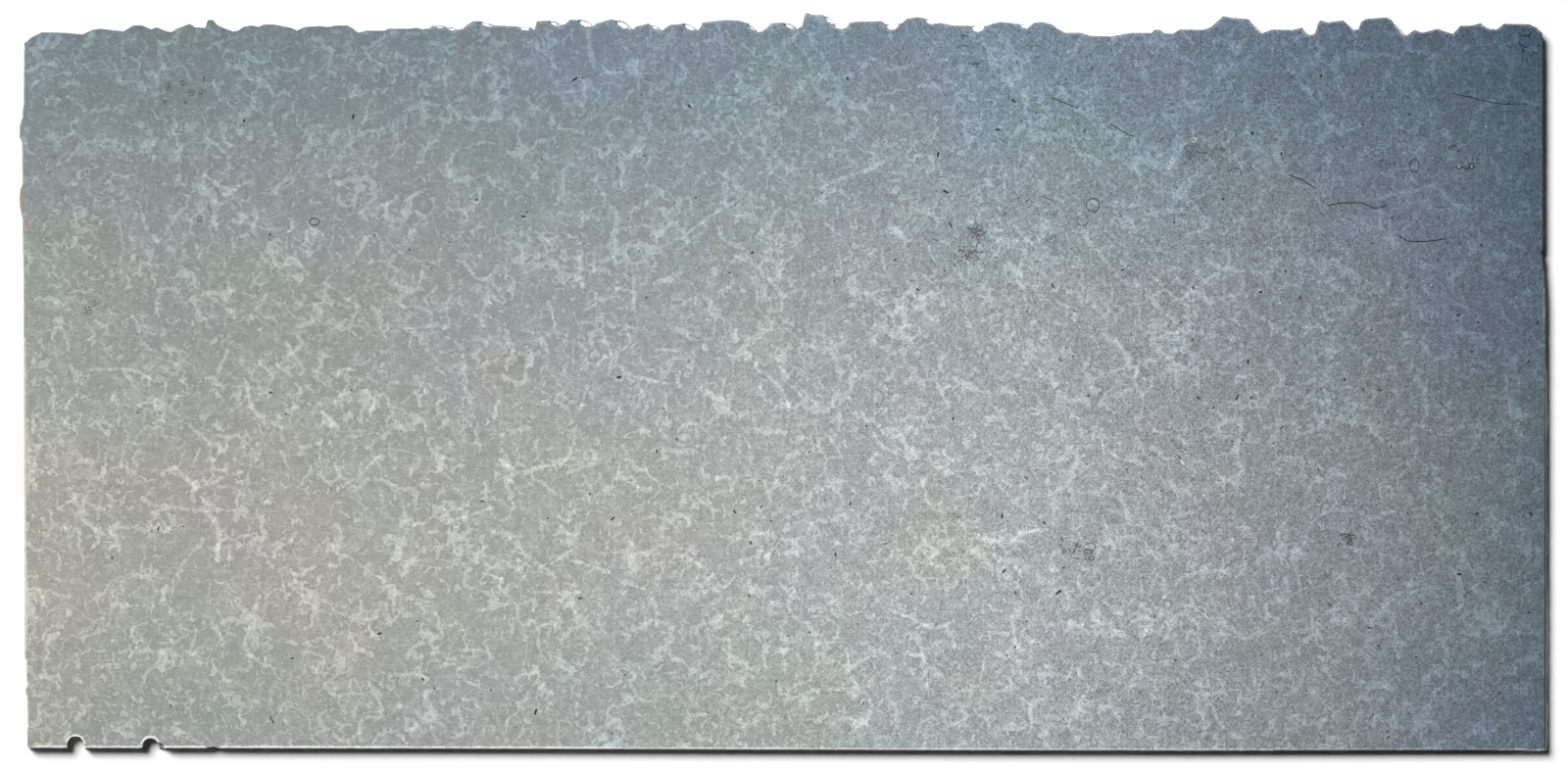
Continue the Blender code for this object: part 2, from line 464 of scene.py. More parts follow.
class StonePatterns:
    """The patterns that the finishes share, each as a node group that is built once."""

    def __init__(self, tones: StoneTonesAndShade) -> None:
        """Builds every group.

        Args:
            tones: The colours of the stone, with their painted shade.
        """
        # The stone's tone carries painted shade towards the right end and the upper edge.
        self.tone = tones.group()
        self.burrows = self.make_burrows()
        self.flecks = self.make_flecks()
        self.grain = self.make_grain()
        self.tinge = self.make_tinge()

    def grained(
        self, wiring: Wiring, place, scale: float, stretch: Sequence[float] = EVEN
    ) -> bpy.types.NodeSocket:
        """The value of the fine grain, placed in a material."""
        return wiring.placed_group(self.grain, Place=place, Scale=scale, Stretch=stretch)[0]

    def make_burrows(self) -> bpy.types.NodeTree:
        """The pale burrows: long ones, short ones and crumbly patches, as one mask."""
        wiring = Wiring.grouped(
            "burrows", "ShaderNodeTree",
            {"Place": "Vector", "Long": "Float", "Short": "Float", "Crumbly": "Float",
             "Halo": "Float", "Outline": "Float"},
            {"Mask": "Float"},
        )
        given = wiring.given()
        start = given["Place"]
        place = wiring.scattered(start, amount=0.012, scale=40.0, detail=1.0, flat=True)
        crowd = wiring.centred(start, scale=10.0, detail=2.0, roughness=0.55, flat=True)
        loose = wiring.centred(start, scale=120.0, detail=2.0, roughness=0.6, flat=True)
        mask = 0.0
        for stroke in (LONG_STROKES, SHORT_STROKES):
            lines = wiring.ridges(
                place, stroke.scale, detail=3.0, roughness=0.6, gain=1.5, offset=stroke.offset
            )
            lines = wiring.plus(wiring.plus(lines, loose, gain=0.4), crowd, gain=0.9)
            low, middle, high = stroke.outline
            outline = wiring.product(
                wiring.eased(lines, low, middle),
                wiring.eased(lines, middle, high, to_low=1.0, to_high=0.0),
            )
            mask = wiring.plus(mask, wiring.eased(lines, *stroke.core), given[stroke.name])
            mask = wiring.plus(mask, outline, given["Outline"])
            mask = wiring.plus(mask, wiring.eased(lines, *stroke.halo), given["Halo"])
        place = wiring.scattered(start, amount=0.02, scale=25.0, detail=2.0, flat=True)
        lines = wiring.ridges(
            place, scale=26.0, detail=4.0, roughness=0.8, gain=2.0, offset=(2.6, 7.1, 0.4)
        )
        lines = wiring.plus(lines, crowd, gain=1.2)
        mask = wiring.plus(mask, wiring.eased(lines, low=1.55, high=2.70), given["Crumbly"])
        wiring.put_out(Mask=mask)
        return wiring.tree

    def make_flecks(self) -> bpy.types.NodeTree:
        """Fine flaky flecks, light ones and dark ones, and short dark dashes, as masks."""
        wiring = Wiring.grouped(
            "flecks", "ShaderNodeTree", {"Place": "Vector", "Scale": "Float"},
            {"Light": "Float", "Dark": "Float", "Dash": "Float"},
        )
        given = wiring.given()
        place = wiring.scattered(
            given["Place"], amount=0.004, scale=160.0, detail=1.0, flat=True
        )
        light, dark = (
            wiring.ridges(
                place, given["Scale"], detail=2.0, roughness=0.7, gain=1.5, offset=offset
            ) for offset in ((0.3, 0.6, 0.2), (3.1, 4.4, 0.9))
        )
        dash = wiring.ridges(
            wiring.arrows("MULTIPLY", given["Place"], (0.7, 1.0, 1.0)),
            scale=70.0, detail=1.0, roughness=0.6, gain=1.5, offset=(1.1, 8.8, -0.6),
        )
        rims = wiring.product(
            wiring.eased(light, low=1.12, high=1.36),
            wiring.eased(light, low=1.36, high=1.56, to_low=1.0, to_high=0.0),
        )
        wiring.put_out(
            Light=wiring.eased(light, low=1.46, high=1.62),
            Dark=wiring.largest(
                wiring.eased(dark, low=1.52, high=1.68), wiring.product(rims, 0.35)
            ),
            Dash=wiring.eased(dash, low=1.38, high=1.46),
        )
        return wiring.tree

    def make_tinge(self) -> bpy.types.NodeTree:
        """The colours laid on edges and in spots where the mesh says, painted highlights and
        painted shade among them.
        """
        wiring = Wiring.grouped(
            "tinge", "ShaderNodeTree", {"Place": "Vector", "Colour": "Color"}, {"Colour": "Color"}
        )
        given = wiring.given()
        tone = wiring.add("ShaderNodeAttribute", attribute_name=TINGE_TONE).outputs["Color"]
        loose = wiring.centred(given["Place"], scale=150.0, detail=3.0, roughness=0.65)
        share = wiring.attribute(Mark.TINGE)
        raggedness = wiring.maths("MINIMUM", wiring.product(share, 3.0), 1.1)
        ragged = wiring.eased(wiring.plus(share, loose, raggedness), low=0.12, high=0.72)
        wiring.put_out(Colour=wiring.mixed(ragged, given["Colour"], tone))
        return wiring.tree

    def make_grain(self) -> bpy.types.NodeTree:
        """The stone's fine grain, as a value about 0."""
        wiring = Wiring.grouped(
            "stone_grain", "ShaderNodeTree",
            {"Place": "Vector", "Scale": "Float", "Stretch": "Vector"}, {"Value": "Float"},
        )
        given = wiring.given()
        place = wiring.arrows("MULTIPLY", given["Place"], given["Stretch"])
        wiring.put_out(
            Value=wiring.centred(place, given["Scale"], detail=1.0, roughness=0.6)
        )
        return wiring.tree


@dataclass(frozen=True)
class Drift:
    """A strength that changes evenly from the slab's left part to its right part."""

    left: float
    right: float


@dataclass(frozen=True)
class HonedFinish:
    """The worn honed face, with its burrows, flecks, fissures and stains."""

    matrix: float = 0.90
    drifts_over: tuple[float, float] = (-1.1, 0.9)
    long_burrows: Drift = Drift(0.40, 0.37)
    short_burrows: Drift = Drift(0.36, 0.32)
    outlines: Drift = Drift(0.0, 0.26)
    crumbly_patches: float = 0.22
    halo: float = -0.06
    named_burrows: float = 0.42
    cloudy: float = 0.18
    loose_scale: float = 110.0
    cloud_scale: float = 60.0
    broad_scale: float = 16.0
    streaks: Drift = Drift(0.40, 0.20)
    streak_scale: float = 260.0
    sparkle: Drift = Drift(0.0, 1.15)
    sparkle_scale: float = 380.0
    fleck_scale: float = 88.0
    light_flecks: Drift = Drift(0.09, 0.29)
    dark_flecks: Drift = Drift(0.09, 0.41)
    dashes: Drift = Drift(0.16, 0.38)
    dark_lines: float = 0.75
    stains: float = 0.7
    roughness: float = 0.62
    gloss: float = 0.3
    relief: float = 0.25
    relief_height: float = 0.0004

    def material(self, patterns: StonePatterns) -> bpy.types.Material:
        """The finish.

        Args:
            patterns: The groups it is made of.

        Returns:
            Its material.
        """
        material = bpy.data.materials.new("honed_limestone")
        material.use_nodes = True
        wiring = Wiring(material.node_tree)
        shader = material.node_tree.nodes["Principled BSDF"]
        place = wiring.add("ShaderNodeTexCoord").outputs["Object"]
        rightward = wiring.eased(wiring.split(place)[0], *self.drifts_over)

        def drifting(strength: Drift) -> bpy.types.NodeSocket:
            """The strength at the place."""
            return wiring.plus(strength.left, rightward, strength.right - strength.left)

        burrows = wiring.placed_group(
            patterns.burrows, Place=place, Crumbly=self.crumbly_patches, Halo=self.halo,
            Long=drifting(self.long_burrows), Short=drifting(self.short_burrows),
            Outline=drifting(self.outlines),
        )[0]
        streaks = patterns.grained(wiring, place, self.streak_scale, STREAKED)
        sparkle = patterns.grained(wiring, place, self.sparkle_scale)
        flecks = wiring.placed_group(patterns.flecks, Place=place, Scale=self.fleck_scale)
        loose, cloudy, broad = (
            wiring.centred(place, scale=scale, detail=detail, roughness=0.6, flat=True)
            for scale, detail in (
                (self.loose_scale, 3.0), (self.cloud_scale, 3.0), (self.broad_scale, 2.0)
            )
        )
        value = wiring.maths("ADD", burrows, self.matrix)
        for part, gain in (
            (self.named(wiring, place, loose), self.named_burrows),
            (cloudy, self.cloudy),
            (broad, self.cloudy),
            (streaks, drifting(self.streaks)),
            (sparkle, drifting(self.sparkle)),
            (flecks["Light"], drifting(self.light_flecks)),
        ):
            value = wiring.plus(value, part, gain)
        line = wiring.plus(wiring.attribute(Mark.DARK), loose, gain=0.9)
        line = wiring.eased(line, low=0.24, high=0.64)
        dark = wiring.largest(
            wiring.product(flecks["Dark"], drifting(self.dark_flecks)),
            wiring.product(flecks["Dash"], drifting(self.dashes)),
            wiring.product(line, self.dark_lines),
            wiring.product(self.peppered(wiring, place), self.stains),
        )
        value = wiring.product(value, wiring.maths("SUBTRACT", 1.0, dark))
        # The stone's tone, with its painted shade towards the right end and the upper edge.
        tone = wiring.placed_group(patterns.tone, Place=place)[0]
        colour = wiring.placed_group(
            patterns.tinge, Place=place, Colour=wiring.shaded(tone, value)
        )[0]
        wiring.feed(shader.inputs["Base Color"], colour)
        worn = wiring.plus(wiring.plus(self.roughness, cloudy, gain=0.3), burrows, gain=0.3)
        wiring.feed(shader.inputs["Roughness"], worn)
        shader.inputs["Specular IOR Level"].default_value = self.gloss
        height = wiring.plus(wiring.plus(burrows, streaks, gain=0.5), dark, gain=-1.5)
        wiring.bumped(shader, height, self.relief, self.relief_height)
        return material

    def named(self, wiring: Wiring, place, loose) -> bpy.types.NodeSocket:
        """The burrows that are placed one by one, with ragged sides.

        Args:
            wiring: The material's wiring.
            place: The place.
            loose: A fine cloudy value, which breaks them up.

        Returns:
            Their mask.
        """
        rough = wiring.centred(place, scale=55.0, detail=4.0, roughness=0.7, flat=True)
        share = wiring.plus(wiring.attribute(Mark.PALE), rough, gain=1.5)
        return wiring.product(
            wiring.eased(share, low=0.28, high=0.52),
            wiring.eased(loose, low=-0.14, high=0.04, to_low=0.55),
        )

    def peppered(self, wiring: Wiring, place) -> bpy.types.NodeSocket:
        """The dark specks that the stains are made of.

        Args:
            wiring: The material's wiring.
            place: The place.

        Returns:
            Their mask.
        """
        stain = wiring.attribute(Mark.STAIN)
        specks = wiring.noise(place, scale=330.0, detail=1.0, flat=True)
        specks = wiring.plus(specks, stain, gain=0.30)
        within = wiring.maths("GREATER_THAN", stain, 0.02)
        return wiring.product(wiring.eased(specks, low=0.60, high=0.68), within)


@dataclass(frozen=True)
class StoneFinish:
    """A plainer surface of the stone: a sawn side, a broken edge or the bottom of a pit."""

    name: str
    shade: float = 1.0
    mottle: float = 0.3
    mottle_scale: float = 60.0
    grain: float = 0.2
    grain_scale: float = 380.0
    saw_lines: float = 0.0
    saw_line_scale: float = 260.0
    roughness: float = 0.8
    gloss: float = 0.25
    relief: float = 0.5
    relief_height: float = 0.001

    def material(self, patterns: StonePatterns) -> bpy.types.Material:
        """The finish.

        Args:
            patterns: The groups it is made of.

        Returns:
            Its material.
        """
        material = bpy.data.materials.new(self.name)
        material.use_nodes = True
        wiring = Wiring(material.node_tree)
        shader = material.node_tree.nodes["Principled BSDF"]
        place = wiring.add("ShaderNodeTexCoord").outputs["Object"]
        # The stone's tone, with its painted shade towards the right end and the upper edge.
        tone = wiring.placed_group(patterns.tone, Place=place)[0]
        cloud = wiring.noise(place, scale=self.mottle_scale, detail=4.0, roughness=0.6)
        grain = patterns.grained(wiring, place, self.grain_scale)
        lines = patterns.grained(wiring, place, self.saw_line_scale, SAW_LINED)
        value = wiring.plus(self.shade, wiring.maths("SUBTRACT", cloud, 0.5), self.mottle)
        value = wiring.plus(wiring.plus(value, grain, self.grain), lines, self.saw_lines)
        colour = wiring.placed_group(
            patterns.tinge, Place=place, Colour=wiring.shaded(tone, value)
        )[0]
        wiring.feed(shader.inputs["Base Color"], colour)
        worn = wiring.plus(self.roughness - 0.1, cloud, gain=0.2)
        wiring.feed(shader.inputs["Roughness"], worn)
        shader.inputs["Specular IOR Level"].default_value = self.gloss
        height = wiring.plus(wiring.maths("ADD", grain, lines), cloud, gain=1.5)
        wiring.bumped(shader, height, self.relief, self.relief_height)
        return material


# The arris finish is 1.3 times as bright as the stone: a pale worn edge with a painted highlight
# where the edge catches the light.
WORN_ARRIS_WITH_HIGHLIGHT = StoneFinish("worn_arris_with_highlight", shade=1.3, mottle=0.35, mottle_scale=90.0, grain=0.3)
SAWN_LIMESTONE = StoneFinish(
    "sawn_limestone", shade=0.95, mottle=0.25, mottle_scale=45.0, grain=0.2, saw_lines=0.25
)
BROKEN_LIMESTONE = StoneFinish(
    "broken_limestone", shade=0.9, mottle=0.5, mottle_scale=70.0, grain=0.25, relief=0.9
)
# The pit finish is a quarter as bright as the stone: painted shade in the hollows of the pits and
# fissures.
PIT = StoneFinish("pit", shade=0.25, mottle=0.2)


# ------------------------------------------------------------------------------------------
# The marks on the honed face
# ------------------------------------------------------------------------------------------


# How many points a single point is ringed with, and how many an oval has.
POINTS_ROUND_A_POINT = 6
POINTS_ROUND_AN_OVAL = 12


def smooth_line(points: Sequence[Point], step: float, height: float) -> list[Vector]:
    """A line through points in plan millimetres, with its corners eased.

    Args:
        points: The points that it runs through.
        step: The furthest that two points of it may lie apart, in metres.
        height: The height that it lies at, in metres.

    Returns:
        Its points in the frame.
    """
    if len(points) == 1:
        return [placed(points[0], height)]
    ends = [Vector(point) for point in points]
    ends = [ends[0] * 2 - ends[1], *ends, ends[-1] * 2 - ends[-2]]
    line = []
    for before, start, end, after in zip(ends, ends[1:], ends[2:], ends[3:]):
        pieces = max(1, math.ceil((end - start).length * MM / step))
        for t in (piece / pieces for piece in range(pieces)):
            line.append(0.5 * (
                2 * start + (end - before) * t
                + (2 * before - 5 * start + 4 * end - after) * t ** 2
                + (3 * start - before - 3 * end + after) * t ** 3
            ))
    return [placed(point, height) for point in (*line, ends[-2])]


def beside(line: Sequence[Vector], distance: float) -> list[Vector]:
    """Points on both sides of a line and past its ends, or round a single point.

    Args:
        line: The points of the line.
        distance: How far from it they lie, in metres.

    Returns:
        The points.
    """
    if len(line) == 1:
        turns = (math.tau * part / POINTS_ROUND_A_POINT for part in range(POINTS_ROUND_A_POINT))
        return [
            line[0] + Vector((math.cos(turn), math.sin(turn), 0.0)) * distance for turn in turns
        ]
    ends = [line[0] * 2 - line[1], *line, line[-1] * 2 - line[-2]]
    points = []
    for before, point, after in zip(ends, line, ends[2:]):
        along = (after - before).normalized() * distance
        points.append(point + Vector((-along.y, along.x, 0.0)))
        points.append(point + Vector((along.y, -along.x, 0.0)))
    for end, inner in ((line[0], line[1]), (line[-1], line[-2])):
        points.append(end + (end - inner).normalized() * distance)
    return points


def oval(centre: Point, across: float, up: float) -> tuple[Point, ...]:
    """A closed round of points.

    Args:
        centre: Its middle, in plan millimetres.
        across: Half its length along the slab, in millimetres.
        up: Half its height across the slab, in millimetres.

    Returns:
        The points, the last of which is the first.
    """
    turns = (math.tau * part / POINTS_ROUND_AN_OVAL for part in range(POINTS_ROUND_AN_OVAL + 1))
    return tuple(
        (centre[0] + across * math.cos(turn), centre[1] + up * math.sin(turn)) for turn in turns
    )


class Tone(Enum):
    """The colours laid on the slab's edges or in spots on it: the stone's own, and painted
    highlights and painted shade on its edges.
    """

    # Lime serves white chips, and the painted highlights of the lower edge, the lip and the scars.
    LIME = (0.86, 0.87, 0.86)
    WHITE = (0.74, 0.75, 0.75)
    CHALK = (0.56, 0.57, 0.56)
    CREAM = (0.52, 0.50, 0.41)
    TAN = (0.32, 0.28, 0.21)
    RUST = (0.34, 0.25, 0.16)
    ROSE = (0.36, 0.28, 0.24)
    # Slate is painted shade on the rim of the broken edge and the outlines of its scars.
    SLATE = (0.16, 0.17, 0.18)
    # Painted shade for a notch in the left end.
    NOTCH_SHADE = (0.05, 0.05, 0.05)


@dataclass(frozen=True)
class Trace:
    """A line of colour, such as a burrow, a hair crack, the colour of an edge, or a painted
    highlight along an edge.

    Attributes:
        points: The line, or a single point, in plan millimetres.
        width: How wide it is, in millimetres.
        strength: How plain it is, from 0 to 1.
        mark: How it shows.
        tone: Its colour, where it has one of its own.
        height: The height that it lies at, in millimetres.
    """

    points: tuple[Point, ...]
    width: float = 7.0
    strength: float = 1.0
    mark: Mark = Mark.PALE
    tone: Tone = Tone.WHITE
    height: float = THICKNESS / MM

    @property
    def reach(self) -> float:
        """How far from its middle it has wholly faded, in metres."""
        return 0.8 * self.width * MM

    def line(self, step: float) -> list[Vector]:
        """Its points in the frame, no further apart than the step."""
        return smooth_line(self.points, step, self.height * MM)


@dataclass(frozen=True)
class Hollow:
    """A pit or a fissure in the honed face.

    Attributes:
        points: The line that it follows, or a single point, in plan millimetres.
        width: How wide it is, in millimetres.
        depth: How deep it is, in millimetres.
    """

    points: tuple[Point, ...]
    width: float = 3.0
    depth: float = 1.6

    @property
    def reach(self) -> float:
        """Half its width, in metres."""
        return 0.5 * self.width * MM

    def line(self, step: float) -> list[Vector]:
        """Its points in the frame, no further apart than the step."""
        return smooth_line(self.points, step, THICKNESS)


# How wide and how plain each pale burrow is, and the points that it runs through.
BURROWS = tuple(
    Trace(tuple(points), width, strength) for width, strength, *points in (
        (6, 0.6, (10, 1295), (40, 1310), (75, 1320), (105, 1320)),
        (8, 0.9, (1560, 1095), (1585, 1110), (1625, 1125), (1660, 1135), (1685, 1150)),
        (8, 0.8, (1850, 1090), (1875, 1100), (1900, 1115), (1925, 1125)),
        (8, 0.9, (1940, 1025), (1955, 1010), (1970, 995), (1985, 980)),
        (10, 0.8, (2080, 1005), (2105, 975), (2140, 930), (2170, 910), (2200, 900), (2230, 855)),
        (7, 0.6, (2205, 930), (2235, 910)),
        (12, 0.45, (2265, 870), (2295, 905), (2345, 915), (2360, 960)),
        (9, 0.6, (2295, 855), (2310, 815)), (9, 0.6, (2220, 805), (2250, 815), (2295, 820)),
        (9, 0.9, (440, 700), (445, 675), (455, 655), (470, 645)),
        (9, 0.8, (325, 630), (350, 610), (370, 590)), (7, 0.7, (345, 585), (335, 560)),
        (9, 0.8, (295, 550), (320, 525), (340, 505)),
        (9, 0.6, (340, 505), (375, 520), (410, 535), (430, 540)),
        (10, 1.0, (350, 470), (370, 450), (385, 420), (380, 390), (380, 365)),
        (6, 0.6, (310, 465), (345, 465)), (7, 0.8, (585, 660), (605, 635)),
        (7, 0.5, (585, 635), (580, 555)), (8, 0.8, (505, 580), (520, 545)),
        (8, 0.7, (625, 510), (660, 535), (695, 570)), (8, 0.6, (670, 635), (685, 665), (690, 700)),
        (7, 0.9, (130, 740), (205, 740), (245, 725)), (7, 0.5, (65, 655), (90, 630)),
        (9, 0.8, (400, 775), (380, 735)), (8, 0.6, (375, 720), (380, 685)),
        (8, 0.8, (460, 760), (490, 725)), (9, 0.8, (515, 795), (540, 755), (550, 735)),
        (9, 0.8, (615, 725), (620, 740), (650, 740)), (8, 0.6, (285, 265), (315, 280)),
        (7, 0.7, (65, 465), (105, 490)), (9, 0.8, (355, 1120), (400, 1095), (445, 1110)),
        (8, 0.7, (360, 1195), (405, 1155)), (9, 0.7, (410, 1035), (480, 1015)),
        (12, 0.7, (1165, 1050), (1160, 1005), (1160, 955)), (9, 0.6, (1160, 965), (1110, 945)),
        (9, 0.6, (1160, 970), (1195, 960)), (9, 0.7, (1195, 925), (1195, 860)),
        (8, 0.7, (1390, 1070), (1335, 1035), (1290, 1000)), (7, 0.6, (1935, 1280), (1985, 1280)),
        (7, 0.6, (2175, 1045), (2175, 1025), (2190, 1025)),
        (8, 0.7, (825, 470), (835, 445), (835, 420)), (8, 0.7, (835, 445), (875, 455), (915, 470)),
        (8, 0.7, (930, 680), (920, 645)),
        (9, 0.9, (935, 565), (970, 540), (1015, 550), (1065, 565)),
        (8, 0.7, (1035, 360), (1085, 395)), (8, 0.7, (1085, 365), (1150, 345)),
        (8, 0.6, (995, 305), (1045, 305)), (7, 0.6, (905, 340), (945, 330)),
        (8, 0.6, (1240, 280), (1240, 240)), (8, 0.7, (1425, 235), (1460, 190)),
        (8, 0.7, (1105, 705), (1090, 660)), (8, 0.7, (1450, 525), (1465, 485)),
        (8, 0.7, (1185, 520), (1230, 505)), (8, 0.7, (1300, 375), (1340, 350)),
        (9, 0.9, (1395, 965), (1435, 945), (1460, 920), (1485, 890)),
        (7, 0.9, (1490, 890), (1525, 900)), (9, 0.6, (1490, 885), (1485, 855)),
        (8, 0.8, (1240, 780), (1285, 780)), (8, 0.9, (1120, 745), (1140, 770)),
        (8, 0.9, (1145, 730), (1160, 750), (1195, 730), (1255, 715)),
        (8, 0.9, (1440, 760), (1435, 745), (1465, 725), (1490, 695), (1500, 665)),
        (8, 0.9, (1445, 690), (1470, 675)), (7, 0.7, (1755, 935), (1800, 895)),
        (8, 0.6, (1795, 705), (1815, 670)), (9, 0.6, (1375, 725), (1365, 685)),
        (8, 0.8, (1665, 620), (1680, 595), (1715, 575)), (8, 0.8, (1655, 560), (1675, 580)),
        (8, 0.7, (1580, 610), (1605, 570)),
        (9, 0.9, (1865, 420), (1885, 410), (1905, 405), (1940, 405)),
        (7, 0.6, (1905, 405), (1900, 370), (1900, 340)),
        (8, 0.8, (1930, 405), (1960, 420), (1990, 430)),
        (9, 0.8, (1700, 270), (1740, 255), (1770, 240), (1790, 235), (1825, 250)),
        (9, 0.6, (1760, 200), (1770, 150), (1775, 100)),
        (14, 0.5, (1935, 255), (1945, 215), (1950, 170), (1960, 140)),
        (8, 0.7, (1980, 655), (2015, 665)), (8, 0.6, (2115, 595), (2145, 570), (2190, 565)),
        (8, 0.6, (2190, 415), (2225, 365)), (8, 0.7, (1610, 60), (1660, 45)),
        (8, 0.7, (1955, 100), (1985, 80)),
        (12, 0.4, (2315, 390), (2270, 335), (2225, 280), (2190, 210), (2145, 115)),
        (10, 0.7, (2510, 400), (2520, 435), (2545, 460), (2575, 470), (2615, 465), (2640, 450)),
        (7, 0.6, (2535, 445), (2570, 410)),
        (16, 0.5, (2720, 325), (2690, 300), (2660, 270), (2635, 235)),
        (8, 0.5, (2735, 375), (2750, 320)),
        (10, 0.6, (2295, 275), (2335, 250), (2370, 235), (2400, 215)),
        (9, 0.7, (2330, 95), (2335, 70), (2345, 50), (2365, 30), (2385, 20)),
        (8, 0.5, (2435, 350), (2455, 320), (2500, 305), (2500, 340)),
        (8, 0.5, (2430, 270), (2470, 245)), (8, 0.5, (2550, 320), (2585, 280)),
        (8, 0.6, (2260, 330), (2310, 350), (2330, 365)), (8, 0.5, (2835, 395), (2895, 350)),
        (8, 0.7, (2565, 960), (2620, 925), (2655, 905)),
        (9, 0.6, (2490, 935), (2525, 925), (2560, 890)), (9, 0.5, (2585, 885), (2635, 875)),
        (10, 0.5, (2655, 835), (2710, 845), (2755, 850)),
        (8, 0.6, (2505, 825), (2545, 825), (2565, 805), (2565, 780)),
        (8, 0.5, (2590, 800), (2630, 770)), (8, 0.6, (2250, 640), (2280, 590)),
        (8, 0.6, (2165, 565), (2195, 555)), (9, 0.6, (2650, 615), (2685, 595), (2725, 610)),
        (11, 0.5, (2755, 610), (2810, 630), (2875, 630)),
        (8, 0.5, (2735, 670), (2790, 675), (2795, 700)),
        (8, 0.6, (915, 375), (945, 365), (970, 370)),
        (8, 0.6, (1155, 335), (1185, 320), (1220, 310)),
        (8, 0.5, (1105, 1400), (1110, 1375), (1115, 1340)),
        (8, 0.5, (750, 1365), (750, 1340), (745, 1315)), (8, 0.5, (2310, 1380), (2310, 1355)),
        (8, 0.5, (2520, 1390), (2520, 1355)), (8, 0.5, (2610, 1400), (2610, 1355)),
        (12, 0.8, (1106, 1402), (1108, 1379), (1112, 1358), (1116, 1339)),
        (10, 0.8, (1135, 1333), (1145, 1324), (1158, 1322), (1172, 1324)),
    )
)

# How wide each hair crack or dark ring is, and the points that it runs through.
DARK_LINES = tuple(
    Trace(tuple(points), width, 1.0, Mark.DARK) for width, *points in (
        (3.0, (2793, 1176), (2798, 1182), (2804, 1183), (2808, 1179)),
        (3.0, (2810, 1171), (2814, 1173)),
        (3.0, (2807, 1141), (2812, 1137), (2818, 1141), (2825, 1138), (2829, 1136), (2833, 1141)),
        (3.0, (2833, 1141), (2837, 1147), (2842, 1147), (2841, 1140), (2836, 1137)),
        (3.0, (2838, 1159), (2840, 1154)), (2.5, (2299, 1174), (2305, 1168), (2320, 1168)),
        (2.5, (2346, 1178), (2353, 1172)),
        (3.0, (2582, 419), (2593, 421), (2600, 418), (2610, 419)),
        (3.0, (2597, 414), (2602, 408), (2604, 400), (2597, 402)),
        (3.0, (2576, 396), (2577, 402), (2583, 402)), (5.0, (1815, 1029), (1819, 1021)),
        (3.0, (1825, 1000), (1828, 996)), (3.0, (1784, 998), (1792, 994)),
        (2.5, (1850, 1023), (1855, 1018), (1863, 1019), (1869, 1012)),
        (2.5, (1857, 1014), (1863, 1008), (1871, 1004), (1878, 1006), (1884, 1012), (1890, 1014)),
        (2.5, (1867, 1002), (1873, 994), (1869, 989)), (2.5, (1830, 973), (1836, 977), (1842, 973)),
        (2.5, (1838, 962), (1846, 966), (1851, 960)),
        (2.5, (1857, 971), (1865, 975), (1875, 971), (1880, 975)), (3.0, (1869, 964), (1875, 958)),
        (2.5, (1947, 1078), (1952, 1080)), (3.0, (1963, 1071), (1971, 1076)),
        (2.5, (1974, 1072), (1978, 1071)), (2.5, (2020, 1052), (2016, 1044)),
        (2.0, (2000, 1080), (2011, 1076), (2024, 1070)), (2.5, (2005, 1040), (2008, 1038)),
        (3.0, (2034, 414), (2040, 406)), (3.0, (2032, 399), (2034, 397)),
        (3.0, (2047, 394), (2052, 386)), (3.0, (2057, 383), (2060, 387)),
        (3.0, (2065, 401), (2064, 394)), (3.0, (2059, 374), (2069, 372)),
        (3.0, (1840, 1397), (1850, 1396)), (2.5, (1850, 1342), (1871, 1342)),
        (2.0, (1838, 1377), (1851, 1377)), (3.5, (484, 61), (492, 47)),
        (2.5, (2622, 709), (2626, 705), (2628, 700)), (2.5, (2655, 708), (2659, 702), (2664, 704)),
        (2.5, *oval((2040, 386), 3.5, 2.9)), (2.5, *oval((2087, 386), 7.7, 4.8)),
        (2.5, *oval((2093, 373), 5.8, 3.8)), (2.5, *oval((2725, 1143), 9.6, 12.5)),
        (3.0, *oval((2095, 1065), 13.0, 13.0)), (2.0, *oval((2075, 1035), 11.0, 10.0)),
        (2.0, *oval((2375, 1130), 12.0, 8.0)), (3.0, *oval((570, 1030), 9.0, 7.0)),
        (2.0, *oval((2090, 395), 12.0, 7.0)),
    )
)

# How wide and how plain each white spot or ring is, and its points.
WHITE_SPOTS = tuple(
    Trace(points, width, strength, Mark.TINGE, Tone.WHITE) for width, strength, points in (
        *((2.6, 1.0, (point,)) for point in (
            (2865, 1220), (1700, 1010), (2045, 1365), (1890, 1270), (1140, 1085), (2295, 1195),
            (2462, 874), (2462, 548), (2282, 868), (2812, 1141), (2837, 1142), (1929, 1000),
            (2312, 1192), (2758, 909),
        )),
        (2.2, 1.0, ((2269, 565), (2275, 556))),
        (1.8, 0.55, oval((2410, 675), 8.0, 8.0)),
        (1.8, 0.6, oval((2293, 1194), 4.4, 4.4)),
        (1.8, 0.6, oval((2251, 1151), 3.8, 3.8)),
        (1.8, 0.6, oval((2245, 1139), 3.8, 3.1)),
    )
)

# The pale line along the lower edge, a painted highlight where the edge catches the light: its tone
# and strength, how far up the slab it lies, and where each length of it starts and ends.
LOWER_EDGE_HIGHLIGHTS = (
    (Tone.LIME, 0.9, -1.6, 25, 86), (Tone.LIME, 0.9, -1.6, 120, 232),
    (Tone.LIME, 1.0, -1.6, 272, 356), (Tone.LIME, 1.0, -1.6, 388, 700),
    (Tone.LIME, 0.9, -1.9, 700, 1150), (Tone.WHITE, 0.8, -2.6, 1150, 1500),
    (Tone.WHITE, 0.75, -3.2, 1500, 1900), (Tone.WHITE, 0.6, -3.2, 1900, 2040),
    (Tone.WHITE, 0.6, -3.2, 2040, 2450), (Tone.CHALK, 0.45, -1.6, 2450, 2932),
)
# The middles of the half drill holes, and how far from them their pale rims lie, which carry the
# lower edge's painted highlight.
DRILL_HOLES = ((103, 4), (250, 1.5))
DRILL_HOLE_TINGE = 18.5

